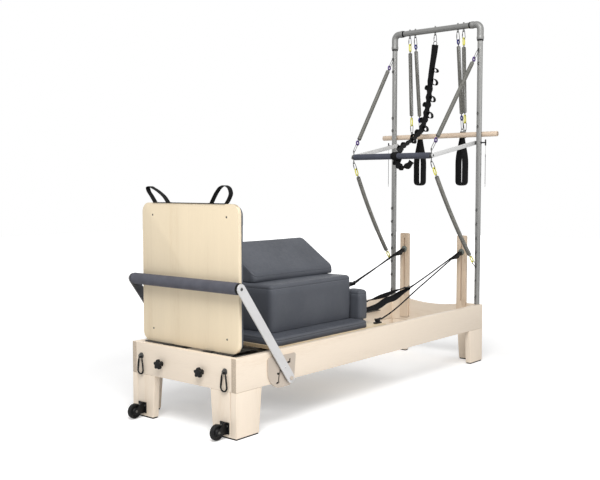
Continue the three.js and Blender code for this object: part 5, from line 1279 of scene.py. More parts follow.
# %% Rollers
ROLLER_Z = 318.3
roller_profile = [(0, -7), (5, -7), (7.5, -6.4), (8.5, -5.6), (15.5, -5.0), (17.5, -6.1),
                  (20.6, -6.5), (22, -5.2), (22, 5.2), (20.6, 6.5), (17.5, 6.1), (15.5, 5.0),
                  (8.5, 5.6), (7.5, 6.4), (0, 6.5)]
for x, where in ((430, "foot"), (1210, "tower")):
    wheels = [turned(roller_profile, (x, side * 313.5, ROLLER_Z), "y", 40) for side in (-1, 1)]
    axle = disc(5, -319.8, 319.8, (x, 0, ROLLER_Z), "y", 0.6, 20)
    piece(f"rollers_{where}_tyres", f"rollers_{where}", (black, *wheels), (zinc, axle),
          slot="black_plastic", replaces=[f"roller_pair_{where}"])
print("rollers: 4 on 2 axles")

# %% [markdown]
# ## Springs
# A spring is a round wire wound about the line between its two ends. The Screw modifier could wind
# it, but then every turn is alike. Here the wire is laid round the line by a formula, so that the
# winding narrows at both ends, as where it is drawn down to the hook. The bed's springs run from
# the spring bar to the carriage as one piece on no body.

# %% Coils


def winding_about(path, radius, wire, pitch, per_turn, taper, small):
    """Wire at p(s) + r (out cos a + over sin a) with a = 2 pi s / pitch. Over the taper at each
    end the radius eases from the small one to r by a half cosine."""
    steps = distances(path)
    total = steps[-1]
    s = np.linspace(0, total, int(total / pitch * per_turn))
    line_of = np.stack([np.interp(s, steps, path[:, k]) for k in range(3)], -1)
    along = unit(np.gradient(line_of, axis=0))
    out = unit(np.cross(along, (0.0, 1.0, 0.0)))
    over = np.cross(out, along)
    near_end = np.clip(np.minimum(s, total - s) / taper, 0, 1)
    reach = small + (radius - wire - small) * (1 - np.cos(np.pi * near_end)) / 2
    angle_of = 2 * np.pi * s / pitch
    spoke = out * np.cos(angle_of)[:, None] + over * np.sin(angle_of)[:, None]
    return tube(line_of + reach[:, None] * spoke, wire, unit(along.mean(0)), count=6)


print("coils ready")

# %% Springs under the carriage
BED_SPRINGS, BED_Z = (-165, -70, 70, 165), 290
coils, plain = [], []
for y in BED_SPRINGS:
    centre = line((222, y, BED_Z), (752, y, BED_Z), 2)
    coils.append(winding_about(centre, 12.5, 1.5, 5.0, per_turn=12, taper=12.0, small=5.0))
    plain.append(disc(2.6, 188.4, 224, (0, y, BED_Z), "x", 0.6, 12))
plain.append(disc(4, -177.3, 177.3, (756, 0, BED_Z), "y", 0.6, 16))
bed = piece("bed_coils", None, (spring_steel, *coils), (dark_steel, *plain), slot="spring_wire",
            replaces=["bed_springs"])
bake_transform(bed)
soften("spring_bar", dark_steel, 0.001)
# Behind the angle that takes the springs, a black tray paints the shade under the carriage and
# stands in for dark parts there that can't be made out
shade_tray = [board((786.2, -247, 222), (790.2, 247, 348), 1.0),
        board((560, -300, 222), (790.2, 300, 226), 1.0)]
piece("carriage_shade_tray", "carriage", (dull_black, *shade_tray))
print("bed springs:", len(BED_SPRINGS))

# %% [markdown]
# ## The footbar
# Two flat arms carry a foam-covered tube. They turn on bolts in shaped plates on the rails, where a
# stud runs in a curved slot with notches. The arms and plates are exact in the CAD, so they keep
# their shape and get softened edges and a finish, and the grip and the bolts are made here.

# %% Arms, plates, grip and bolts
soften("footbar_frame", arm_silver, 0.0012)
for _, where in SIDES:
    soften(f"footbar_plate_{where}", plate_champagne, 0.0008)
# A thin black sheet lies behind each plate, so that its slot and notches show dark
SLOT_DARK_RADIUS, SLOT_DARK_WIDTH, SLOT_DARK_FROM, SLOT_DARK_TO = 80.5, 23, 80, 193
dark_sheets = []
for side in (-1, 1):
    bend = arc((359, side * 360.2, 229), SLOT_DARK_RADIUS, SLOT_DARK_FROM, SLOT_DARK_TO, "y", 30)
    dark_sheets.append(carried(bend, oblong(SLOT_DARK_WIDTH, 0.6, 0.2), (0, 1, 0)))
piece("plate_slot_darkening", "frame", (dull_black, *dark_sheets))
GRIP_X, GRIP_Z = 17.0, 688.0
GRIP = (GRIP_X, 0, GRIP_Z)
foam_end = [(16.7, 362), (23.5, 362), (26.6, 360.6), (28, 357)]
sleeve = turned([*towards(-1, foam_end), *[(28, y) for y in np.linspace(-340, 340, 30)],
                 *foam_end[::-1]], GRIP, "y", 40)
cap = [(16.7, 361.5), (26.4, 361.8), (27, 363.5), (26.2, 367), (24, 367.9), (16.7, 368)]
caps = [turned(towards(side, cap), GRIP, "y", 40) for side in (-1, 1)]
piece("footbar_foam", "footbar", (foam, sleeve), (black, *caps), slot="grip_foam",
      replaces=["footbar_grip"])
bolt_head = [(0, 379.6), (8, 379.7), (8, 380.8), (6.6, 382.2), (3, 382.6), (0, 382.6)]
bolts = [turned(towards(side, bolt_head), GRIP, "y", 28) for side in (-1, 1)]
# A dark hexagon on each bolt head paints the shade in its socket
socket_shades = [nut(3.2, *sorted((side * 382.3, side * 382.9)), GRIP, "y") for side in (-1, 1)]
piece("footbar_bolts", "footbar", (zinc, *bolts), (dull_black, *socket_shades), slot="bright_steel")
print("footbar ready")

# %% [markdown]
# ## Risers and pulleys
# A beech riser stands at each side of the tower end, with a slot along its middle in which the
# pulley can be set. A domed disc and a nut clamp it. A Boolean could cut the slot, but it leaves
# thin faces round the ends, so the board is one closed surface: up its outer edge, across the back,
# down the slot and across the front.

# %% Slotted risers
RISER_Y, RISER_FRONT, RISER_BACK, CLAMP_Z = 222.0, 2277.0, 2299.0, 712.0
WHEEL_X, WHEEL_Z = 2231.0, 692.0
# Where the two runs of rope leave the pulley
OUTLET_X, OUTLET_LOW, OUTLET_HIGH = 2147, 672.4, 681.6


def slotted_riser(y):
    """Rings of the outer outline from front to back, then rings of the slot from back to front."""
    levels = edge_levels(RISER_FRONT, RISER_BACK, 2.0)
    outer = [in_plane(outline(68, 582, 8, inset, 10, 6) + [y, 531], x, "yz") for inset, x in levels]
    slot = [in_plane(outline(8, 398, 3.95, -inset * 0.5, 10, 6) + [y, 589], x, "yz")
            for inset, x in levels[::-1]]
    return surface(np.stack(outer + slot), True, True)


def pulley_block(side):
    """Domed disc, nut, two cheeks and the axle's ends, about the clamp of one riser."""
    y = side * RISER_Y
    dome_profile = [(0, -12), (6, -11.7), (12, -10.2), (17, -7.2), (20.4, -3.4), (22, 0), (22, 0.3),
                    (0, 0.3)]
    dome = turned(dome_profile, (RISER_FRONT, y, CLAMP_Z), "x", 44)
    behind = (RISER_BACK, y, CLAMP_Z)
    back = [turned([(0, 0), (11.5, 0), (11.5, 1.4), (0, 1.4)], behind, "x", 32),
            nut(9.6, 1.4, 6.2, behind, "x")]
    bar = stadium((2191, 682), (2266, 708.2), 11, 16)
    cheeks = [slab(bar, y + low, y + low + 2.4, 0.7, "xz") for low in (-10, 7.6)]
    pins = [disc(3.4, y - 12, y + 12, (WHEEL_X, 0, WHEEL_Z), "y", 0.8, 20),
            disc(2.4, y - 9.4, y + 9.4, (2198, 0, 684.4), "y", 0.6, 14)]
    return dome, back, cheeks, pins


def rope_round_pulley(side):
    """The stretch of rope from one outlet round the wheel to the other: two lines and an arc."""
    y = side * RISER_Y
    bend = arc((WHEEL_X, y, WHEEL_Z), 16.2, -88, 108, "y", 26)
    return np.concatenate([line((OUTLET_X, y, OUTLET_LOW), bend[0], 6)[:-1], bend,
                           line(bend[-1], (OUTLET_X, y, OUTLET_HIGH), 6)[1:]])


sheave_half = [(3.9, 6.3), (7, 6.5), (8, 5.4), (12, 5.4), (13, 6.3), (15.4, 6.4), (16, 5.8),
               (12.4, 3.2)]
sheave = [*towards(-1, sheave_half), (11.5, 0), *sheave_half[::-1], (3.9, -6.3)]
for side, where in SIDES:
    y = side * RISER_Y
    piece(f"riser_{where}_board", "frame", (beech, slotted_riser(y)), slot="riser_wood",
          replaces=[f"riser_{where}"])
    dome, back, cheeks, pins = pulley_block(side)
    piece(f"pulley_block_{where}", "frame", (dome_paint, dome), (dark_steel, *back),
          (black, *cheeks), (zinc, *pins), slot="dark_steel", replaces=[f"riser_{where}"])
    piece(f"pulley_sheave_{where}", f"pulley_{where}",
          (black, turned(sheave, (WHEEL_X, y, WHEEL_Z), "y", 48)), slot="black_plastic",
          replaces=[f"pulley_wheel_{where}"])
    s = np.linspace(0, 1, 20)
    sleeve_line = line((2136, y, 674.5), (2186, y, 683.6), 20)
    sleeve = tube(sleeve_line, np.where(s < 0.1, 6.5 + 10 * s, 7.5 + 2.5 * s), (0, 1, 0), count=20)
    rope = tube(rope_round_pulley(side), 3.5, (0, 1, 0), count=12)
    piece(f"rope_at_pulley_{where}", "frame", (rope_black, rope), (webbing, sleeve), slot="rope",
          replaces=[f"traction_rope_{where}"])
print("risers and pulleys: 2 each")

# %% [markdown]
# ## Ropes and cotton loops
# Each rope runs from its cleat to the pulley and back to a ring, and a wide cotton loop goes from
# the ring round the peg of the shoulder rest. The loop turns on its way, so that its width is seen
# from the side, and its lower run hangs in shallow waves. A simulation could find a shape, but this
# one is seen in the photograph, so it is given.

# %% Rope runs
RING_X, RING_Y, RING_Z, ROPE_RADIUS = 1669.0, 205.0, 529.0, 4.2
for side, where in SIDES:
    y = side * RISER_Y
    first = curve_through([(1279, side * 262, 391.0), (1296, side * 262, 392.0),
                           (1340, side * 260.3, 401.5), (1740, side * 241.4, 534.0),
                           (OUTLET_X, y, OUTLET_LOW)], 60)
    second = curve_through([(OUTLET_X, y, OUTLET_HIGH), (1910, side * 213.4, 602.0),
                            (1700, side * 206, 535.2), (1684, side * RING_Y, 530)], 50)
    crimp_line = line((1686, side * RING_Y, 530.3), (1722, side * 206.4, 542.0), 8)
    crimp_radii = np.array([3.8, 5.2, 5.6, 5.6, 5.6, 5.6, 5.2, 3.8])
    crimp = tube(crimp_line, crimp_radii, (0, 1, 0), count=16)
    ring_of = wire_ring(13, 2.5, (RING_X, side * RING_Y, RING_Z), "y", 36, 12)
    ropes = [tube(run, ROPE_RADIUS, (0, 1, 0)) for run in (first, second)]
    runs = piece(f"rope_runs_{where}", "frame", (rope_black, *ropes), (dull_black, crimp),
                 (bright, ring_of), slot="rope", replaces=[f"traction_rope_{where}"])
    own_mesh(runs)
    print(f"rope {where}:", *[round(distances(run)[-1]) for run in (first, second)], "mm of runs,",
          round(distances(rope_round_pulley(side))[-1]), "mm round the pulley")

# %% Cotton loops
PEG_END, RING_END = (1218.3, 458.0), (1652.0, 529.0)
PEG_BEND, RING_BEND, COTTON_TWIST = 28, 6, 62


def cotton_loop(side):
    """A closed band round a circle of radius 28 at the peg and one of 6 at the ring, joined by
    their tangents. At the share s of a run it leans from the y axis by 62 sin(pi s)^1.4 degrees.
    The lower run waves by 5 sin(5 pi s) sin(pi s) and sags by 7 sin(pi s)."""
    start, end = np.array(PEG_END), np.array(RING_END)
    along = end - start
    angle = np.degrees(np.arctan2(along[1], along[0]))
    lean = np.degrees(np.arccos((PEG_BEND - RING_BEND) / np.linalg.norm(along)))
    peg_turn = np.radians(np.linspace(angle + lean, angle - lean + 360, 24))
    ring_turn = np.radians(np.linspace(angle - lean, angle + lean, 10))
    big = start + PEG_BEND * bearing(peg_turn)
    small = end + RING_BEND * bearing(ring_turn)
    s = np.linspace(0, 1, 42)[1:-1]
    swing = np.sin(np.pi * s)
    lower = big[-1] + (small[0] - big[-1]) * s[:, None]
    lower[:, 1] += 5 * np.sin(5 * np.pi * s) * swing - 7 * swing
    upper = small[-1] + (big[0] - small[-1]) * s[:, None]
    upper[:, 1] += 2.0 * np.sin(3 * np.pi * s) * swing
    flat = np.concatenate([big, lower, small, upper])
    twist = np.concatenate([0 * peg_turn, swing**1.4, 0 * ring_turn, -swing**1.4])
    turn = np.radians(COTTON_TWIST) * twist * side
    share = (flat[:, 0] - start[0]) / along[0]
    y = side * (REST_Y + (RING_Y - REST_Y) * np.clip(share, 0, 1))
    path = np.stack([flat[:, 0], y, flat[:, 1]], -1)
    across = np.stack([np.zeros(len(y)), np.cos(turn), -np.sin(turn)], -1)
    return carried(path, oblong(3.4, 37, 1.5), across, True)


for side, where in SIDES:
    loop = piece(f"cotton_loop_{where}", "frame", (cotton_black, cotton_loop(side)), slot="webbing",
                 replaces=[f"traction_rope_{where}"])
    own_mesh(loop)
print("cotton loops: 2")

# %% [markdown]
# ## The tower
# Two steel poles and a top bar are joined by cast elbows. Eye bolts for the springs go through the
# poles and the bar, each with its nut on the other side, and the poles have spare holes for the
# push bar's pins. A hole could be a dark disc painted on the tube, but the pins slide through these
# ones, so they are cut with a Boolean.

# %% Poles
POLE_X, POLE_Y, POLE_RADIUS, POLE_TOP = 2303.0, 327.0, 17.5, 2088.0
EYE_HEIGHTS = (422, 529, 622, 713, 806, 900, 991, 1530, 1615, 1934, 2020)
HOLE_HEIGHTS = (1221, 1288, 1354, 1427)


def drilled(target, holes):
    """Cuts closed shapes out of a piece, and keeps the result as its mesh, with no modifier."""
    tool = bpy.data.objects.new("drill", mesh_of("drill", holes, [0] * len(holes)))
    bpy.context.scene.collection.objects.link(tool)
    cutting = target.modifiers.new("holes", "BOOLEAN")
    cutting.operation, cutting.solver, cutting.object = "DIFFERENCE", "EXACT", tool
    shaped = target.evaluated_get(bpy.context.evaluated_depsgraph_get())
    result = bpy.data.meshes.new_from_object(shaped)
    target.modifiers.clear()
    target.data = result
    bpy.data.objects.remove(tool)
    result.set_sharp_from_angle(angle=np.radians(35))


def pole_heights():
    """Rows where the holes are, so that the shading stays even between them."""
    rows = [z + d for z in HOLE_HEIGHTS for d in (-9, 9)]
    return [374.2, *sorted(rows + list(np.linspace(440, 2040, 17))), POLE_TOP - 0.8]


nut_back = [(0, -1), (4.6, -1), (4.6, 0.4), (0, 0.4)]
for side, where in SIDES:
    y = side * POLE_Y
    profile = [(0, 373.3), (16.8, 373.3), *[(POLE_RADIUS, z) for z in pole_heights()],
               (16.8, POLE_TOP), (0, POLE_TOP)]
    eyes, nuts = [], []
    for z in EYE_HEIGHTS:
        eyes.append(wire_ring(8.2, 2.6, (2278, y, z), "y", 26, 10))
        nuts += [turned(nut_back, (POLE_X - 17.6, y, z), "x", 16),
                 nut(5.2, 17.0, 21.2, (POLE_X, y, z), "x"),
                 disc(2.6, 20, 24.5, (POLE_X, y, z), "x", 0.6, 12)]
    pole = piece(f"pole_{where}_tube", "frame",
                 (tower_steel, turned(profile, (POLE_X, y, 0), "z", 44)),
                 slot="tower_tube", replaces=[f"pole_{where}"])
    drilled(pole, [disc(4.8, y - 30, y + 30, (POLE_X, 0, z), "y", 0.1, 28) for z in HOLE_HEIGHTS])
    piece(f"pole_{where}_eyes", "frame", (zinc, *eyes, *nuts), slot="bright_steel",
          replaces=[f"pole_{where}"])
print("poles:", POLE_TOP - 373, "mm high, with", len(EYE_HEIGHTS), "eyes each")

# %% Top bar and elbows
BAR_Z, BAR_RADIUS, BAR_EYE_Z, BAR_END = 2187.0, 19.0, 2160.0, 272
BAR_EYES = (-206, -163, 7, 163, 206)
ELBOW_BEND, ELBOW_RADIUS, RIM = 34, 21.6, 17


def eye_bolt(x, y, eye_z, shank, hexagon, flange):
    """A wire ring on a shank that stands along z. The shank and its nut are (radius, low, high),
    and the flange is a profile."""
    foot = (x, y, 0)
    return [wire_ring(8, 2.4, (x, y, eye_z), "y", 30, 10), disc(*shank, foot, "z", 0.8, 14),
            nut(*hexagon, foot, "z"), turned(flange, foot, "z", 18)]


def elbow_and_seals():
    """The near elbow: a tube up the pole, round a quarter circle and along the bar, 1.9 mm thicker
    on the 17 mm rim at each end, with a small chamfer. A seal lies at each end."""
    bend = arc((POLE_X, -(POLE_Y - ELBOW_BEND), BAR_Z - ELBOW_BEND), ELBOW_BEND, 180, 90, "x", 14)
    route = np.concatenate([line((POLE_X, -POLE_Y, POLE_TOP), (POLE_X, -POLE_Y, 2150), 12), bend,
                            line((POLE_X, -290, BAR_Z), (POLE_X, -260, BAR_Z), 10)])
    so_far = distances(route)
    from_end = np.minimum(so_far, so_far[-1] - so_far)
    size = ELBOW_RADIUS + 1.9 * (from_end < RIM) - 1.6 * np.clip(1 - from_end / 2.0, 0, 1)
    seals = [disc(20.6, 2080.0, 2088.2, (POLE_X, -POLE_Y, 0), "z", 0.8, 36),
             disc(21.4, -260.2, -250.0, (POLE_X, 0, BAR_Z), "y", 0.8, 36)]
    return tube(route, size, (1, 0, 0), count=40), seals


elbow, seals = elbow_and_seals()
bar = turned([(0, -BAR_END), (BAR_RADIUS, -BAR_END),
              *[(BAR_RADIUS, y) for y in np.linspace(-255, 255, 12)],
              (BAR_RADIUS, BAR_END), (0, BAR_END)], (POLE_X, 0, BAR_Z), "y", 44)
flange = [(0, 2166.4), (5.2, 2166.8), (5.6, 2169), (0, 2169.4)]
eyes = []
for y in BAR_EYES:
    eyes += eye_bolt(POLE_X, y, BAR_EYE_Z, (2.8, 2166.5, 2213.5), (5.6, 2205.6, 2211), flange)
piece("top_bar_tube", "frame", (bar_steel, bar), (cast_steel, elbow, mirrored(elbow)),
      (dull_black, *seals, *map(mirrored, seals)), (zinc, *eyes), slot="tower_tube",
      replaces=["top_bar"])
print("top bar with", len(BAR_EYES), "eyes")

# %% [markdown]
# ## Push bar and its pins
# Two flat arms hang on pins through the poles and carry a foam-covered tube. An arm is a bar with
# round ends and a hole for its pin. A Boolean would leave the hole's rim sharp, so the arm's rings
# go up the outer edge and back down the hole, each with its rounding.

# %% Push bar
PUSH_X, PUSH_Z, ARM_Y, LUG_Y = 1775.0, 1332.0, 300.0, 290.0


def bored(flat, centre, radius, low, high, ease, plane):
    """A plate with a hole: each point of the outline has one on the hole, in the same direction."""
    away = np.arctan2(*(flat - centre).T[::-1])
    levels = edge_levels(low, high, ease)
    outer = [in_plane(drawn_in(flat, inset), h, plane) for inset, h in levels]
    inner = [in_plane(centre + (radius + inset) * bearing(away), h, plane)
             for inset, h in levels[::-1]]
    return surface(np.stack(outer + inner), True, True)


PUSH = (PUSH_X, 0, PUSH_Z)
arm_flat = stadium((PUSH_X, PUSH_Z), (POLE_X, PIN_Z), 13.5, 26)
pin_hole, hole_radius = np.array([POLE_X, PIN_Z]), 4.9
washer = [(hole_radius, 301.8), (11.3, 301.8), (11.3, 309.1), (hole_radius, 309.1),
          (hole_radius, 301.8)]
collar = [(0, 283.6), (14.6, 283.8), (15.6, 285), (15.6, 294.6), (14.6, 296), (0, 296.2)]
end_cap = [(0, 303.3), (6.6, 303.4), (6.6, 305), (4.4, 306), (0, 306)]
arms, steel, tips = [], [], []
for side in (-1, 1):
    y, lug_y = side * ARM_Y, side * LUG_Y
    arms.append(bored(arm_flat, pin_hole, hole_radius, y - 3.5, y + 3.5, 1.2, "xz"))
    steel.append(turned(towards(side, washer), (POLE_X, 0, PIN_Z), "y", 32))
    steel.append(disc(3, PUSH_Z - 29.5, PUSH_Z + 29.5, (PUSH_X, lug_y, 0), "z", 0.8, 16))
    steel += [wire_ring(6.5, 2.1, (PUSH_X, lug_y, PUSH_Z + up * 35), "y", 26, 10) for up in (-1, 1)]
    tips += [turned(towards(side, collar), PUSH, "y", 36),
             turned(towards(side, end_cap), PUSH, "y", 24)]
piece("push_bar_arms", "push_bar", (push_silver, *arms), (zinc, *steel), (bright, *tips),
      slot="silver_arm", replaces=["push_bar_frame"])
foam_end = [(11, 283.5), (16, 283.5), (18.4, 281.8), (19, 279)]
sleeve = turned([*towards(-1, foam_end), *[(19, y) for y in np.linspace(-270, 270, 26)],
                 *foam_end[::-1], (11, -283.5)], PUSH, "y", 36)
piece("push_bar_foam", "push_bar", (push_foam, sleeve), slot="grip_foam",
      replaces=["push_bar_grip"])
print("push bar ready")

# %% T pins
STEM = [(0, 293), (3.4, 293.2), (4.5, 295), (4.5, 336.8), (9, 337), (9.2, 338), (9.2, 343.6),
        (8.6, 344.8), (5.4, 345), (4.6, 346), (4.5, 374), (0, 374.5)]
HANDLE_HALF = [(5.4, 0), (5.2, 3), (4.3, 6), (4.7, 14), (4.1, 18), (2.6, 19.7), (0, 20)]
for side, where in SIDES:
    stem = turned(towards(side, STEM), (POLE_X, 0, PIN_Z), "y", 28)
    grip = turned([*towards(-1, HANDLE_HALF[:0:-1]), *HANDLE_HALF],
                  (POLE_X, side * PIN_Y, PIN_Z), "z", 24)
    piece(f"t_pin_{where}_steel", f"pin_{where}", (dark_steel, stem), (black, grip),
          slot="dark_steel", replaces=[f"t_pin_{where}"])
print("T pins: 2")

# %% [markdown]
# ## Springs of the tower
# Each spring hangs in its eyes by a chain of links: a carabiner and a coloured link or ring that
# tells its strength, then the loop of the spring's own wire and the winding. Copies of one spring
# could be stretched, but their wire would stretch too, so each is made to its own length along the
# z axis and then laid on the line between its eyes, with the bow of a slack one.

# %% Links
# Wire radius of each kind of link, and the radius of the arcs of a long link
WIRES = {"carabiner": 2.2, "link": 3.7, "thin": 1.9, "ring": 4.6}
HALVES = {"link": 10.2, "thin": 7.0}
GATE_FIRST, GATE_LAST, BARREL = 19, 26, 3.1


def pear(start, length, small, large, turned_over=False):
    """A closed wire line: a small arc at its start, a large one at its end, and their tangents. It
    lies in the y, z plane, or in x, z when turned over. s is measured along z from start."""
    gap = length - small - large
    lean = np.degrees(np.arcsin((large - small) / gap))
    foot = np.radians(np.linspace(-180 + lean, -lean, 16))
    head = np.radians(np.linspace(-lean, 180 + lean, 20))
    first = [0, start + small] + small * bearing(foot)
    second = [0, start + length - large] + large * bearing(head)
    gate = np.linspace(first[-1], second[0], 14)[1:-1]
    back = np.linspace(second[-1], first[0], 6)[1:-1]
    flat = np.concatenate([first, gate, second, back])
    return np.insert(flat, 1 if turned_over else 0, 0, axis=1)


def face_of(turned_over):
    """The direction square to the plane of a link."""
    return (0, 1, 0) if turned_over else (1, 0, 0)


def carabiner(start, length, turned_over):
    """A pear of wire whose gate has a thicker barrel."""
    path = pear(start, length, 7.5, 10.5, turned_over)
    wire = np.full(len(path), 2.1)
    wire[GATE_FIRST:GATE_LAST] = BARREL
    return tube(path, wire, face_of(turned_over), True, 10)


def long_link(start, length, half, wire, turned_over):
    """An oval of wire: a pear whose two arcs are alike."""
    path = pear(start, length, half, half, turned_over)
    return tube(path, wire, face_of(turned_over), True, 10)


def chain(kinds):
    """Links from z = 0, each inside the last one's end and turned by a quarter. Returns the shapes
    with their finishes, where the spring's own loop starts, and whether it is turned over."""
    shapes, end, last_wire, turn = [], 0.0, 0.0, False
    for number, (kind, length, finish) in enumerate(kinds):
        wire = WIRES[kind]
        start = end - (last_wire + wire + 0.1) * (number > 0)
        if kind == "carabiner":
            shape = carabiner(start, length, turn)
        else:
            shape = long_link(start, length, HALVES.get(kind, length / 2 - 1.0), wire, turn)
        shapes.append((finish, shape))
        end, last_wire, turn = start + length, wire, not turn
    return shapes, end - last_wire - 1.5, turn


print("links ready")

# %% Tower springs
COIL_RADIUS, COIL_WIRE, COIL_PITCH, PER_TURN, NECK, EASE = 13.3, 1.3, 2.75, 14, 2.4, 8
LOOP_RADIUS, LOOP_WIRE = 6.2, 1.4


def tower_winding(low, high, coil_from, coil_to):
    """Wire at (r cos a, r sin a, s), a = 2 pi s / pitch. r is the neck's at both ends and eases
    to the coil's by a half cosine over 8 mm where the coil is to begin and to end."""
    s = np.linspace(low, high, int((high - low) / COIL_PITCH * PER_TURN))
    begin, finish = min(coil_from - EASE, low + 4), max(coil_to + EASE, high - 4)
    ease = np.clip(np.minimum(s - begin, finish - s) / EASE, 0, 1)
    reach = NECK + (COIL_RADIUS - COIL_WIRE - NECK) * (1 - np.cos(np.pi * ease)) / 2
    angle_of = 2 * np.pi * (s - low) / COIL_PITCH
    centre = np.column_stack([reach[:, None] * bearing(angle_of), s])
    return tube(centre, COIL_WIRE, (0, 0, 1), count=6)


def tower_spring(name, body, start, end, coil_from, coil_to, first, last, replaces, sag=0.0,
                 blend=None):
    """A chain at each end, the loops of the wire, a thin neck, and the winding between."""
    start, end = np.array(start, float), np.array(end, float)
    length = np.linalg.norm(end - start)
    parts, bounds = {}, []
    for kinds, flip in ((first, False), (last, True)):
        shapes, loop_at, turn = chain(kinds)
        middle = (0, 0, loop_at + LOOP_RADIUS)
        loop_path = arc(middle, LOOP_RADIUS, 0, 360, "y" if turn else "x", 25)[:-1]
        shapes.append((spring_steel, tube(loop_path, LOOP_WIRE, face_of(turn), True, 8)))
        bounds.append(loop_at + 12.6)
        for finish, shape in shapes:
            if flip:
                shape = {**shape, "points": shape["points"] * [1, 1, -1] + [0, 0, length]}
            parts.setdefault(finish, []).append(shape)
    winding_of = tower_winding(bounds[0], length - bounds[1], coil_from, coil_to)
    parts[spring_steel].append(winding_of)
    along = (end - start) / length
    y = unit(np.array([0.0, 1.0, 0.0]) - along[1] * along)
    x = np.cross(y, along)

    def laid(shape):
        """start + (x + sag 4 q (1 - q)) X + y Y + z along, with q the share of the length."""
        p = shape["points"]
        share = np.clip(p[:, 2:] / length, 0, 1)
        bowed = p[:, :1] + sag * 4 * share * (1 - share)
        return {**shape, "points": start + bowed * x + p[:, 1:2] * y + p[:, 2:] * along}

    new = piece(name, body, *[(finish, *map(laid, shapes)) for finish, shapes in parts.items()],
                slot="spring_wire", replaces=replaces)
    if blend:
        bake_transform(new)
    return new



# %% Hangers, loop springs and push springs
def seats(a, b, reach=1.8):
    """Where the first and last links lie in their eyes: a little towards each other."""
    a, b = np.array(a, float), np.array(b, float)
    pull = unit(b - a)
    return a + pull * reach, b - pull * reach


POLE_EYE_X, BAR_SEAT = 2279, 2.6
ROLL_X, LOOP_X, OUTER_Y, INNER_Y = 2337.8, 2377.1, 206, 163
for side, where in SIDES:
    outer_y = side * OUTER_Y
    start, end = seats((POLE_X, outer_y, BAR_EYE_Z), (ROLL_X, outer_y, 1508), BAR_SEAT)
    tower_spring(f"hanger_{where}", "roll_down", start, end, 108, 506,
                 [("carabiner", 51, bright), ("link", 47, yellow)],
                 [("carabiner", 56, bright), ("link", 52, yellow)], [f"hanger_spring_{where}"])
    start, _ = seats((POLE_X, side * INNER_Y, BAR_EYE_Z), (LOOP_X, side * INNER_Y, 1519), BAR_SEAT)
    end = np.array([LOOP_X, side * INNER_Y, 1523.3])
    tower_spring(f"loop_spring_{where}_coil", f"loop_{where}", start, end, 108, 506,
                 [("carabiner", 60, bright), ("ring", 27, navy)],
                 [("thin", 68, bright), ("ring", 27, navy)], [f"loop_spring_{where}"])
    pole_y, lug_y = side * POLE_Y, side * LUG_Y
    start, end = seats((POLE_EYE_X, pole_y, 2020), (PUSH_X, lug_y, PUSH_Z + 35))
    tower_spring(f"push_upper_{where}", None, start, end, 124, 709,
                 [("thin", 74, bright), ("ring", 27, purple)],
                 [("thin", 66, bright), ("ring", 27, purple)],
                 [f"push_spring_upper_{where}"], blend=("frame", "push_bar"))
    start, end = seats((POLE_EYE_X, pole_y, 622), (PUSH_X, lug_y, PUSH_Z - 35))
    link_pair = [("carabiner", 51, bright), ("link", 46, yellow)]
    tower_spring(f"push_lower_{where}", None, start, end, 110, 730, link_pair, link_pair,
                 [f"push_spring_lower_{where}"], sag=-25.0, blend=("frame", "push_bar"))
print("tower springs: 8")

# %% [markdown]
# ## Roll-down bar and hand loops
# A beech bar hangs in the two outer springs by eye bolts. Behind it two hand loops hang in the
# inner springs: a D of steel, and webbing that is narrow where it goes over the D and wide at the
# hand. A flat strip on a curve would keep one width, so the loop's section grows along its line.

# %% Roll-down bar
ROLL_Z, ROLL_RADIUS, ROLL_HALF, ROLL_EASE = 1483.0, 17.0, 442.0, 5
t = np.linspace(0, np.pi / 2, 5)
end_round = [(ROLL_RADIUS - ROLL_EASE + ROLL_EASE * np.sin(a),
              -ROLL_HALF + ROLL_EASE - ROLL_EASE * np.cos(a)) for a in t]
profile = [(0, -ROLL_HALF), *end_round, *[(ROLL_RADIUS, y) for y in np.linspace(-400, 400, 18)],
           *towards(-1, end_round[::-1]), (0, ROLL_HALF)]
flange = [(0, 1498.6), (5.6, 1499), (5.6, 1500.6), (0, 1501)]
bolts = []
for y in (-OUTER_Y, OUTER_Y):
    bolts += eye_bolt(ROLL_X, y, 1508, (2.6, 1462, 1500.5), (5.4, 1461.4, 1466), flange)
piece("roll_down_dowel", "roll_down", (dowel, turned(profile, (ROLL_X, 0, ROLL_Z), "y", 44)),
      (zinc, *bolts), slot="bar_wood", replaces=["roll_down_bar"])
print("roll-down bar:", 2 * ROLL_HALF, "mm")

# %% Hand loops
# Degrees by which each loop is turned about its upright line, near and far
LOOP_TURN = {-1: -17, 1: -11}
LOOP_HALF, LOOP_FOOT = 31.5, 1185


def hand_loop(side):
    """A closed band: over the D, down and out to half 31.5, round the foot, a squared circle
    (|cos|^0.8, |sin|^0.8), and back. From z = 1490 down to 1340 its width grows from 30 to 56 mm
    and its thickness from 3.6 to 9 mm."""
    top = [0, 1502] + 6.6 * bearing(np.radians(np.linspace(-10, 190, 14)))
    foot = bearing(np.radians(np.linspace(180, 360, 30)))
    lower = [0, LOOP_FOOT] + LOOP_HALF * np.sign(foot) * np.abs(foot) ** 0.8
    bends = [(8.2, 1480), (17, 1410), (LOOP_HALF, 1308), (LOOP_HALF, 1240)]
    left = curve_through([top[-1], *[(-y, z) for y, z in bends], lower[0]], 44)[1:-1]
    right = curve_through([lower[-1], *bends[::-1], top[0]], 44)[1:-1]
    flat = np.concatenate([top, left, lower, right])
    grow = np.clip((1490 - flat[:, 1]) / 150, 0, 1)
    width = 30 + 26 * grow**2 * (3 - 2 * grow)
    thick = 3.6 + 5.4 * grow
    section = oblong(1, 1, 0.45)[None] * np.stack([thick, width], -1)[:, None]
    turn = np.radians(LOOP_TURN[side])
    path = np.stack([LOOP_X - flat[:, 0] * np.sin(turn),
                     side * INNER_Y + flat[:, 0] * np.cos(turn), flat[:, 1]], -1)
    return carried(path, section, (np.cos(turn), np.sin(turn), 0), True)


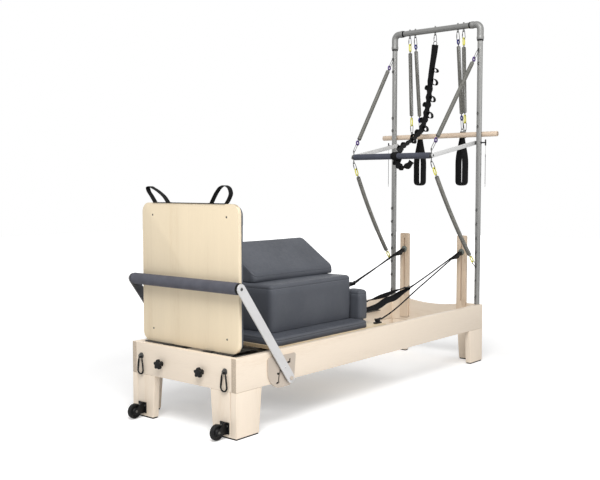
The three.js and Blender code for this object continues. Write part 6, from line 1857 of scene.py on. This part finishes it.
bow = [0, 1502.4] + [17.5, 24.6] * bearing(np.linspace(0, np.pi, 26))
flat = np.concatenate([bow, np.linspace(bow[-1], bow[0], 8)[1:-1]])
for side, where in SIDES:
    d_path = np.stack([LOOP_X + flat[:, 0], np.full(len(flat), side * INNER_Y), flat[:, 1]], -1)
    piece(f"hand_loop_{where}_webbing", f"loop_{where}", (webbing, hand_loop(side)),
          (bright, tube(d_path, 2.3, (0, 1, 0), True, 12)), slot="webbing",
          replaces=[f"hand_loop_{where}"])
print("hand loops: 2")

# %% [markdown]
# ## The loop strap
# A long strap with small hand loops sewn along it hangs by a carabiner from the middle eye, goes
# once round the push bar's grip and ends in a short tail. A cloth simulation could drape it, but
# its route is seen in the photograph, so it is given, and it is one piece on no body.

# %% Strap
ROUTE = [(2303, 7, 2089), (2303, 13, 2040), (2303, 28, 1950), (2301, 38, 1869), (2293, 41, 1790),
         (2279, 40, 1720), (2260, 38, 1664), (2232, 35, 1600), (2200, 30, 1552), (2140, 20, 1501),
         (2040, 12, 1450), (1930, 0, 1408), (1850, -18, 1378), (1800, -40, 1358)]
TAIL = [(1768, -56, 1282), (1766, -76, 1264), (1768, -104, 1262), (1772, -132, 1276),
        (1775, -150, 1298)]
STRAP_POINTS, LOOP_POINTS = 300, 28
wound = arc(PUSH, 23.3, 81, 306, "y", 16) - np.outer(np.linspace(30, 42, 16), [0, 1, 0])
strap_line = curve_through([*ROUTE, *wound, *TAIL], STRAP_POINTS)
fall = np.linspace(0, 1, STRAP_POINTS)
folds = 7 * np.sin(46 * np.pi * fall) * np.clip(fall * 8 - 1.2, 0, 1)
breadth = np.where(fall < 0.1, 44 - 60 * fall, 38) + folds
thickness = 5.0 + 3.0 * np.clip(fall * 6 - 1, 0, 1)
section = oblong(1, 1, 0.4)[None] * np.stack([thickness, breadth], -1)[:, None]
strap = carried(strap_line, section, (-0.5, 0.86, 0))


def side_loop(share, side, reach, drop):
    """A loop sewn to the strap at a share of its length: p + side (8 + reach (1 - cos t) / 2) along
    y and drop sin t along z, drooping by 0.35 reach at its far end."""
    p = strap_line[int(share * (STRAP_POINTS - 1))]
    t = np.linspace(0, 2 * np.pi, LOOP_POINTS + 1)[:-1]
    out = reach * (1 - np.cos(t)) / 2
    path = np.stack([np.full(LOOP_POINTS, p[0] - 3), p[1] + side * (out + 8),
                     p[2] + drop * np.sin(t) - 0.35 * out], -1)
    return band(path, 30, 3.2, (1, 0, 0), True)


# (share of the strap's length, side, reach and drop in millimetres) of each small loop
LOOPS = [(0.13, -1, 40, 13), (0.19, -1, 46, 20), (0.22, 1, 22, 14), (0.28, -1, 40, 19),
         (0.31, 1, 24, 14), (0.37, -1, 42, 20), (0.40, 1, 26, 16), (0.46, -1, 36, 18),
         (0.49, 1, 26, 16), (0.54, 1, 30, 18), (0.60, -1, 24, 16), (0.66, 1, 24, 15),
         (0.71, 1, 22, 14), (0.90, 1, 20, 14), (0.95, 1, 18, 13)]
loops = [side_loop(*values) for values in LOOPS]
hook = carabiner(0.0, 46, False)
hook = {**hook, "points": hook["points"] * [1, 1, -1] + [POLE_X, 7, BAR_EYE_Z - BAR_SEAT]}
ring_of = wire_ring(13, 2.4, (POLE_X, 7, 2099), "x", 30, 10)
new = piece("loop_strap_webbing", None, (webbing, strap, *loops), (bright, hook, ring_of),
            slot="webbing", replaces=["loop_strap"])
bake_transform(new)
print("strap:", round(float(distances(strap_line)[-1])), "mm long, with", len(LOOPS), "loops")

# %% [markdown]
# ## The end
# The pieces made here are counted.

# %% Count the pieces
bpy.context.view_layer.update()
print("pieces made:", len(made))
